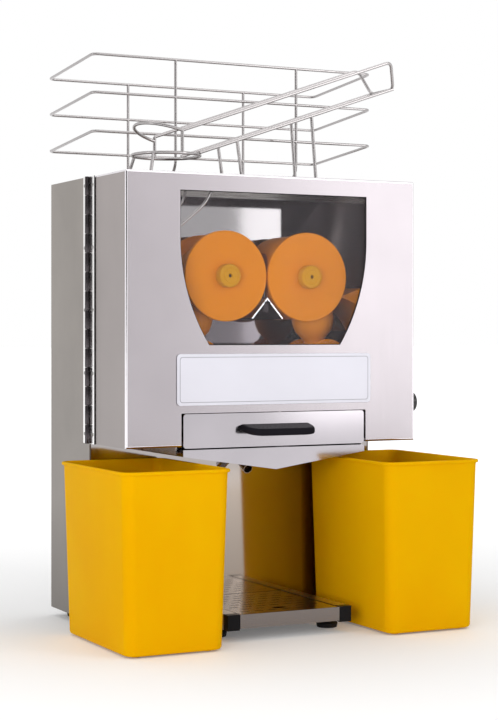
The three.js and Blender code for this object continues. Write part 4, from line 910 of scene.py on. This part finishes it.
def upper_drum(quarter, side):
    """A drum with a wide front plate and three round cups."""
    x, z = SHAFTS[quarter]
    front, step, back, rim, drum, cup = 25, 31, 109, 61.5, 58.5, 36.5
    base = lathe(f"{quarter}_blank", [
        (BORE, front), (rim - 0.9, front), (rim, front + 0.9), (rim, step - 0.8),
        (rim - 0.7, step), (drum, step), (drum, back - 0.8), (drum - 0.8, back),
        (BORE, back), (BORE, front)], at(x, 0, z), SHAFT_AXIS, 72)
    cutters = []
    for i, a in around(side, 0):
        place = at(x + BALL_CIRCLE * math.cos(a), BALL_Y, z + BALL_CIRCLE * math.sin(a))
        cutters.append(ball(f"{quarter}_cutter_{i}", cup, place))
    made = carved(f"press_drum_{quarter}", base, cutters)
    finish_piece(made, f"{quarter}_drum", orange, angle=28)
    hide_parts(f"drum_{quarter}")


def lower_drum(quarter, side):
    """A hub with three balls on stems."""
    x, z = SHAFTS[quarter]
    hub = lathe(f"ball_hub_{quarter}", [
        (BORE, 31), (33, 31), (34, 32), (34, 35), (33, 36), (26, 36), (24, 38), (24, 102),
        (26, 104), (33, 104), (34, 105), (34, 108), (33, 109), (BORE, 109), (BORE, 31)],
        at(x, 0, z), SHAFT_AXIS)
    # The nearest cup is off the line between the two shafts, and its ball is as far off the
    # other way, because the drums turn opposite ways
    lower_x, lower_z = SHAFTS["lower_left"] - SHAFTS["upper_left"]
    press = math.atan2(lower_z, lower_x)
    off = press + 2 * math.pi / 3
    parts = []
    for i, a in around(side, press + math.pi + off):
        out = Vector((math.cos(a), 0, math.sin(a)))
        parts.append(lathe(f"ball_{quarter}_{i}", [
            (16.5, 22), (14.6, 27), (14.6, 31), (16, 34.2), (19.5, 38.2), (25.5, 45.5),
            (28.8, 54), (30, 62.5), (28.9, 70.8), (25.8, 78), (21, 84), (14.8, 88.7),
            (7.8, 91.5), (0, 92.5)], at(x, BALL_Y, z), out, 40))
    for part in parts:
        finish_piece(part, f"{quarter}_drum", orange_soft, angle=60)
    finish_piece(hub, f"{quarter}_drum", orange)
    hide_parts(f"drum_{quarter}")


def drum_knob(quarter):
    """A round knob with a groove in its face and a dark socket in the middle."""
    x, z = SHAFTS[quarter]
    low, high = box(f"knob_{quarter}")
    radius, back, length = (high.x - low.x) / 2, high.y, high.y - low.y - 0.1
    groove = radius * 0.62
    depth = 4  # of the socket
    knob = lathe(f"drum_knob_{quarter}", [
        (0, 0), (radius, 0), (radius, length - 3), (radius - 0.8, length - 1.1),
        (radius - 2.6, length), (groove + 0.7, length), (groove + 0.3, length - 0.5),
        (groove - 0.3, length - 0.5), (groove - 0.7, length), (3.4, length),
        (2.4, length - 0.8), (2.2, length - depth), (0, length - depth)],
        at(x, back, z), (0, -1, 0))
    finish_piece(knob, f"{quarter}_drum", amber)
    socket = lathe(f"knob_socket_{quarter}", [
        (0, 0), (1.9, 0), (1.9, 1.6), (1.2, 1.9), (1.0, 1.2), (0, 1.2)],
        at(x, back - length + depth, z), (0, -1, 0), 24)
    finish_piece(socket, f"{quarter}_drum", black_matt)
    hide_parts(f"knob_{quarter}")


upper_drum("upper_left", -1)
upper_drum("upper_right", 1)
lower_drum("lower_left", -1)
lower_drum("lower_right", 1)
for quarter in SHAFTS:
    drum_knob(quarter)


# Drawer handle: a glossy pull with a sloping top and a pocket from below
def drawer_handle():
    corner, drop, steps = 25, 6.5, 16
    lowest, highest = box("drawer_handle")
    middle, half = (lowest.x + highest.x) / 2, (highest.x - lowest.x) / 2
    reach, low = -lowest.y, lowest.z + drop

    def outline(inset, back):
        wide, front, r = half - inset, -reach + inset, corner - inset
        left = ((-wide, front + r), (-wide, front), (-wide + r, front))
        right = ((wide - r, front), (wide, front), (wide, front + r))
        points = [(middle - wide, back)]
        for start, turn, end in (left, right):
            for i in range(steps + 1):
                x, y = (curve(*values, i / steps) for values in zip(start, turn, end))
                points.append((middle + x, y))
        points.append((middle + wide, back))
        return points

    def ring(inset, height, back=-0.35):
        return [at(x, y, low + height + y * drop / reach) for x, y in outline(inset, back)]

    pocket = [ring(3.6, 5.8, -3.2), ring(3.3, 4.8, -3), ring(3.1, 0.6, -3), ring(2.6, 0.1, -2.4)]
    outside = [ring(inset, height) for inset, height in (
        (1.2, 0), (0.4, 0.3), (0, 1.3), (0, 5), (0.5, 6.7), (1.6, 7.8), (3.4, 8.35), (5.5, 8.5))]
    pull = loft("pull_handle", pocket + outside)
    finish_piece(pull, "filter_drawer", gloss_black, angle=60)
    for face in pull.data.polygons:
        if len(face.vertices) > 4:  # the flat top and the pocket's ceiling
            face.use_smooth = False
    modified(pull, "WEIGHTED_NORMAL", keep_sharp=True)
    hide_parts("drawer_handle")


drawer_handle()


# Peel bins: thin moulded shells with a rolled rim and soft corners, on four low pads
def peel_bin(hand, side):
    base, draft, rim, wall, corner = 2.0, 6, 3.2, 2.4, 15
    low, top = box("peel_bin_right")
    x0, x1 = low.x + draft + rim, top.x - draft - rim
    y0, y1 = low.y + draft + rim, top.y - draft - rim
    high = top.z

    def lean(z):
        return draft * (z - base) / (high - base)

    def wall_level(share, inset=0.0):
        z = base + share * (high - base)
        return z, lean(z) - inset, corner - inset

    # Each level is a height, how far it stands out past the foot, and its corners' radius
    levels = [(base + 0.2, 3 - corner, 2.0), (base, -4.5, corner - 4.5),
              (base + 1.0, -1.4, corner - 1.4), (base + 3.4, lean(3.4), corner)]
    levels += [wall_level(share) for share in (0.2, 0.4, 0.6, 0.8, 0.93)]
    levels.append((high - 8.5, lean(high - 8.5), corner))
    levels.append((high - 4.6, draft + 0.1, corner))
    for down, out in ((4.4, 2.4), (3.2, 3.1), (1.2, 3.0), (0.2, 2.0), (0, 0.6)):
        levels.append((high - down, draft + out, corner + out))
    levels.append((high - 0.3, draft - 1.2, corner - 1.2))
    levels.append((high - 1.6, draft - wall, corner - wall))
    levels += [wall_level(share, wall) for share in (0.9, 0.7, 0.5, 0.3, 0.1)]
    levels += [(base + wall + 3, lean(5) - wall - 0.4, corner - wall),
               (base + wall, -wall - 4, corner - wall - 4), (base + wall, 3 - corner, 2.0)]
    rings = []
    for z, out, radius in levels:
        outline = rounded_outline(x0 - out, x1 + out, y0 - out, y1 + out, radius)
        rings.append([at(side * x, y, z) for x, y in outline])
    obj = loft(f"bin_shell_{hand}", rings)
    finish_piece(obj, f"peel_bin_{hand}", yellow, angle=45)
    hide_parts(f"peel_bin_{hand}")
    inset = 18
    places = [(x, y) for x in (x0 + inset, x1 - inset) for y in (y0 + inset, y1 - inset)]
    for i, (x, y) in enumerate(places):
        pad = lathe(f"bin_foot_{hand}_{i}", [(0, 0), (6.2, 0), (7, 0.6), (7, 2.3), (0, 2.3)],
                    at(side * x, y, 0), (0, 0, 1), 24)
        finish_piece(pad, f"peel_bin_{hand}", yellow)


peel_bin("left", -1)
peel_bin("right", 1)


# Feet and latch knob
def foot(name, node):
    x, y, _ = centre(node)
    top = box(node)[1].z
    obj = lathe(name, [
        (0, 0), (12.6, 0), (13.8, 0.6), (14.9, 5.8), (14.6, 6.6), (13.6, 7), (8.2, 7), (7.4, 7.6),
        (7, 8.4), (7, top), (0, top)], at(x, y, 0), (0, 0, 1), 40)
    finish_piece(obj, "machine", rubber)
    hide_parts(node)


for hand in ("left", "right"):
    foot(f"foot_front_{hand}", f"front_foot_{hand}")
    foot(f"foot_rear_{hand}", f"rear_foot_{hand}")


def latch_knob():
    """A grooved round knob with its stem and cam behind the door's wall."""
    sides, grooves, groove_half = 72, 18, 0.45
    axis_y, axis_z = 40, centre("door_latch_knob").z
    inside, end = (corner.x for corner in box("door_latch_knob"))
    start = door_high.x + 0.3
    profile = [(0, start), (11, start), (13.6, start + 1), (14.4, start + 3), (14.4, end - 4),
               (13.6, end - 1.4), (11.8, end - 0.3), (9, end), (8.2, end - 0.8), (0, end - 0.8)]
    rings = []
    for radius, x in profile:
        grooved = radius > 13 and start + 2 < x < end - 2
        ring = []
        for a in circle(sides) if radius else [0]:
            r = radius + groove_half * (math.cos(grooves * a) - 1) if grooved else radius
            ring.append(at(x, axis_y + r * math.cos(a), axis_z + r * math.sin(a)))
        rings.append(ring)
    knob = joined("latch_knob", rings)
    finish_piece(knob, "door_latch", black, angle=40)
    thickness, stem_radius, stem_length, cam_reach = 3, 4, 22.5, 24
    stem = lathe("latch_stem", [
        (0, 0), (stem_radius, 0), (stem_radius, stem_length), (0, stem_length)],
        at(inside, axis_y, axis_z), (1, 0, 0), 28)
    finish_piece(stem, "door_latch", steel_wire)
    outline = rounded_outline(axis_y - stem_radius, axis_y + cam_reach, axis_z - stem_radius,
                              axis_z + stem_radius, 3.7)
    cam = prism("latch_cam", [at(inside + thickness, y, z) for y, z in outline],
                [at(inside, y, z) for y, z in outline])
    soften(cam, 0.3)
    finish_piece(cam, "door_latch", steel_flat)
    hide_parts("door_latch_knob")


latch_knob()


# Stage: a pale floor and a white background, soft light
WHITE = (1, 1, 1, 1)


def stage_floor():
    """A pale floor that keeps the shadow and fades to the white background round the object."""
    half_size, near, far, glow_near, glow_far = 40, 0.3, 2.2, 0.12, 0.6
    bm = bmesh.new()
    bmesh.ops.create_grid(bm, x_segments=1, y_segments=1, size=half_size)
    floor = from_bmesh("floor", bm)
    material = bpy.data.materials.new("floor")
    material.use_nodes = True
    s = Nodes(material.node_tree)
    main = s.tree.nodes["Principled BSDF"]
    main.inputs["Base Color"].default_value = (0.9, 0.9, 0.9, 1)
    main.inputs["Roughness"].default_value = 0.8
    main.inputs["Emission Color"].default_value = WHITE
    away = s.node("ShaderNodeVectorMath", operation="LENGTH")
    s.link(s.node("ShaderNodeTexCoord").outputs["Object"], away.inputs[0])
    fade = s.spread(away.outputs["Value"], glow_near, glow_far, near, far)
    s.link(s.combine("MULTIPLY", fade, s.background_rays()), main.inputs["Emission Strength"])
    floor.data.materials.append(material)


def studio_world():
    """White for the background and softer on the object, with a dark flag at the front left of
    the studio that only reflections see."""
    on_object, on_background = 0.62, 1.0
    heading, edge, core = (math.radians(angle) for angle in (228, 32, 24))
    darkness = 0.97
    world = bpy.data.worlds.new("studio")
    scene.world = world
    world.use_nodes = True
    s = Nodes(world.node_tree)
    background = s.tree.nodes["Background"]
    background.inputs["Color"].default_value = WHITE
    level = s.spread(s.background_rays(), on_object, on_background, 0, 1)
    flag = s.node("ShaderNodeVectorMath", operation="DOT_PRODUCT")
    flag.inputs[1].default_value = (math.cos(heading), math.sin(heading), 0)
    s.link(s.node("ShaderNodeTexCoord").outputs["Generated"], flag.inputs[0])
    shadow = s.spread(flag.outputs["Value"], 0, darkness, math.cos(edge), math.cos(core),
                      "SMOOTHSTEP")
    reflected = s.node("ShaderNodeLightPath").outputs["Is Glossy Ray"]
    left_over = s.combine("SUBTRACT", 1.0, s.combine("MULTIPLY", shadow, reflected))
    s.link(s.combine("MULTIPLY", level, left_over), background.inputs["Strength"])


def area(name, place, target, size, power, glossy=True):
    data = bpy.data.lights.new(name, "AREA")
    data.shape = "RECTANGLE"
    data.size, data.size_y = size
    data.energy = power
    lamp = placed(name, data)
    lamp.location = place
    lamp.rotation_mode = "QUATERNION"
    lamp.rotation_quaternion = (Vector(target) - Vector(place)).to_track_quat("-Z", "Y")
    lamp.visible_glossy = glossy


stage_floor()
studio_world()
area("key", (1.2, -2.2, 1.7), (0, 0, 0.4), (1.3, 1.3), 6)
area("card", (1.5, -2.2, 0.95), (0, 0, 0.6), (0.7, 1.6), 7)
area("strip", (-2.4, -0.35, 0.7), (0, 0, 0.4), (0.25, 1.8), 2.5)
area("front", (-1.8, -1.8, 0.5), (0, 0, 0.25), (1.2, 0.9), 26, glossy=False)
area("top", (0.1, 0.3, 2.6), (0, 0, 0.4), (2.0, 1.6), 8.5)
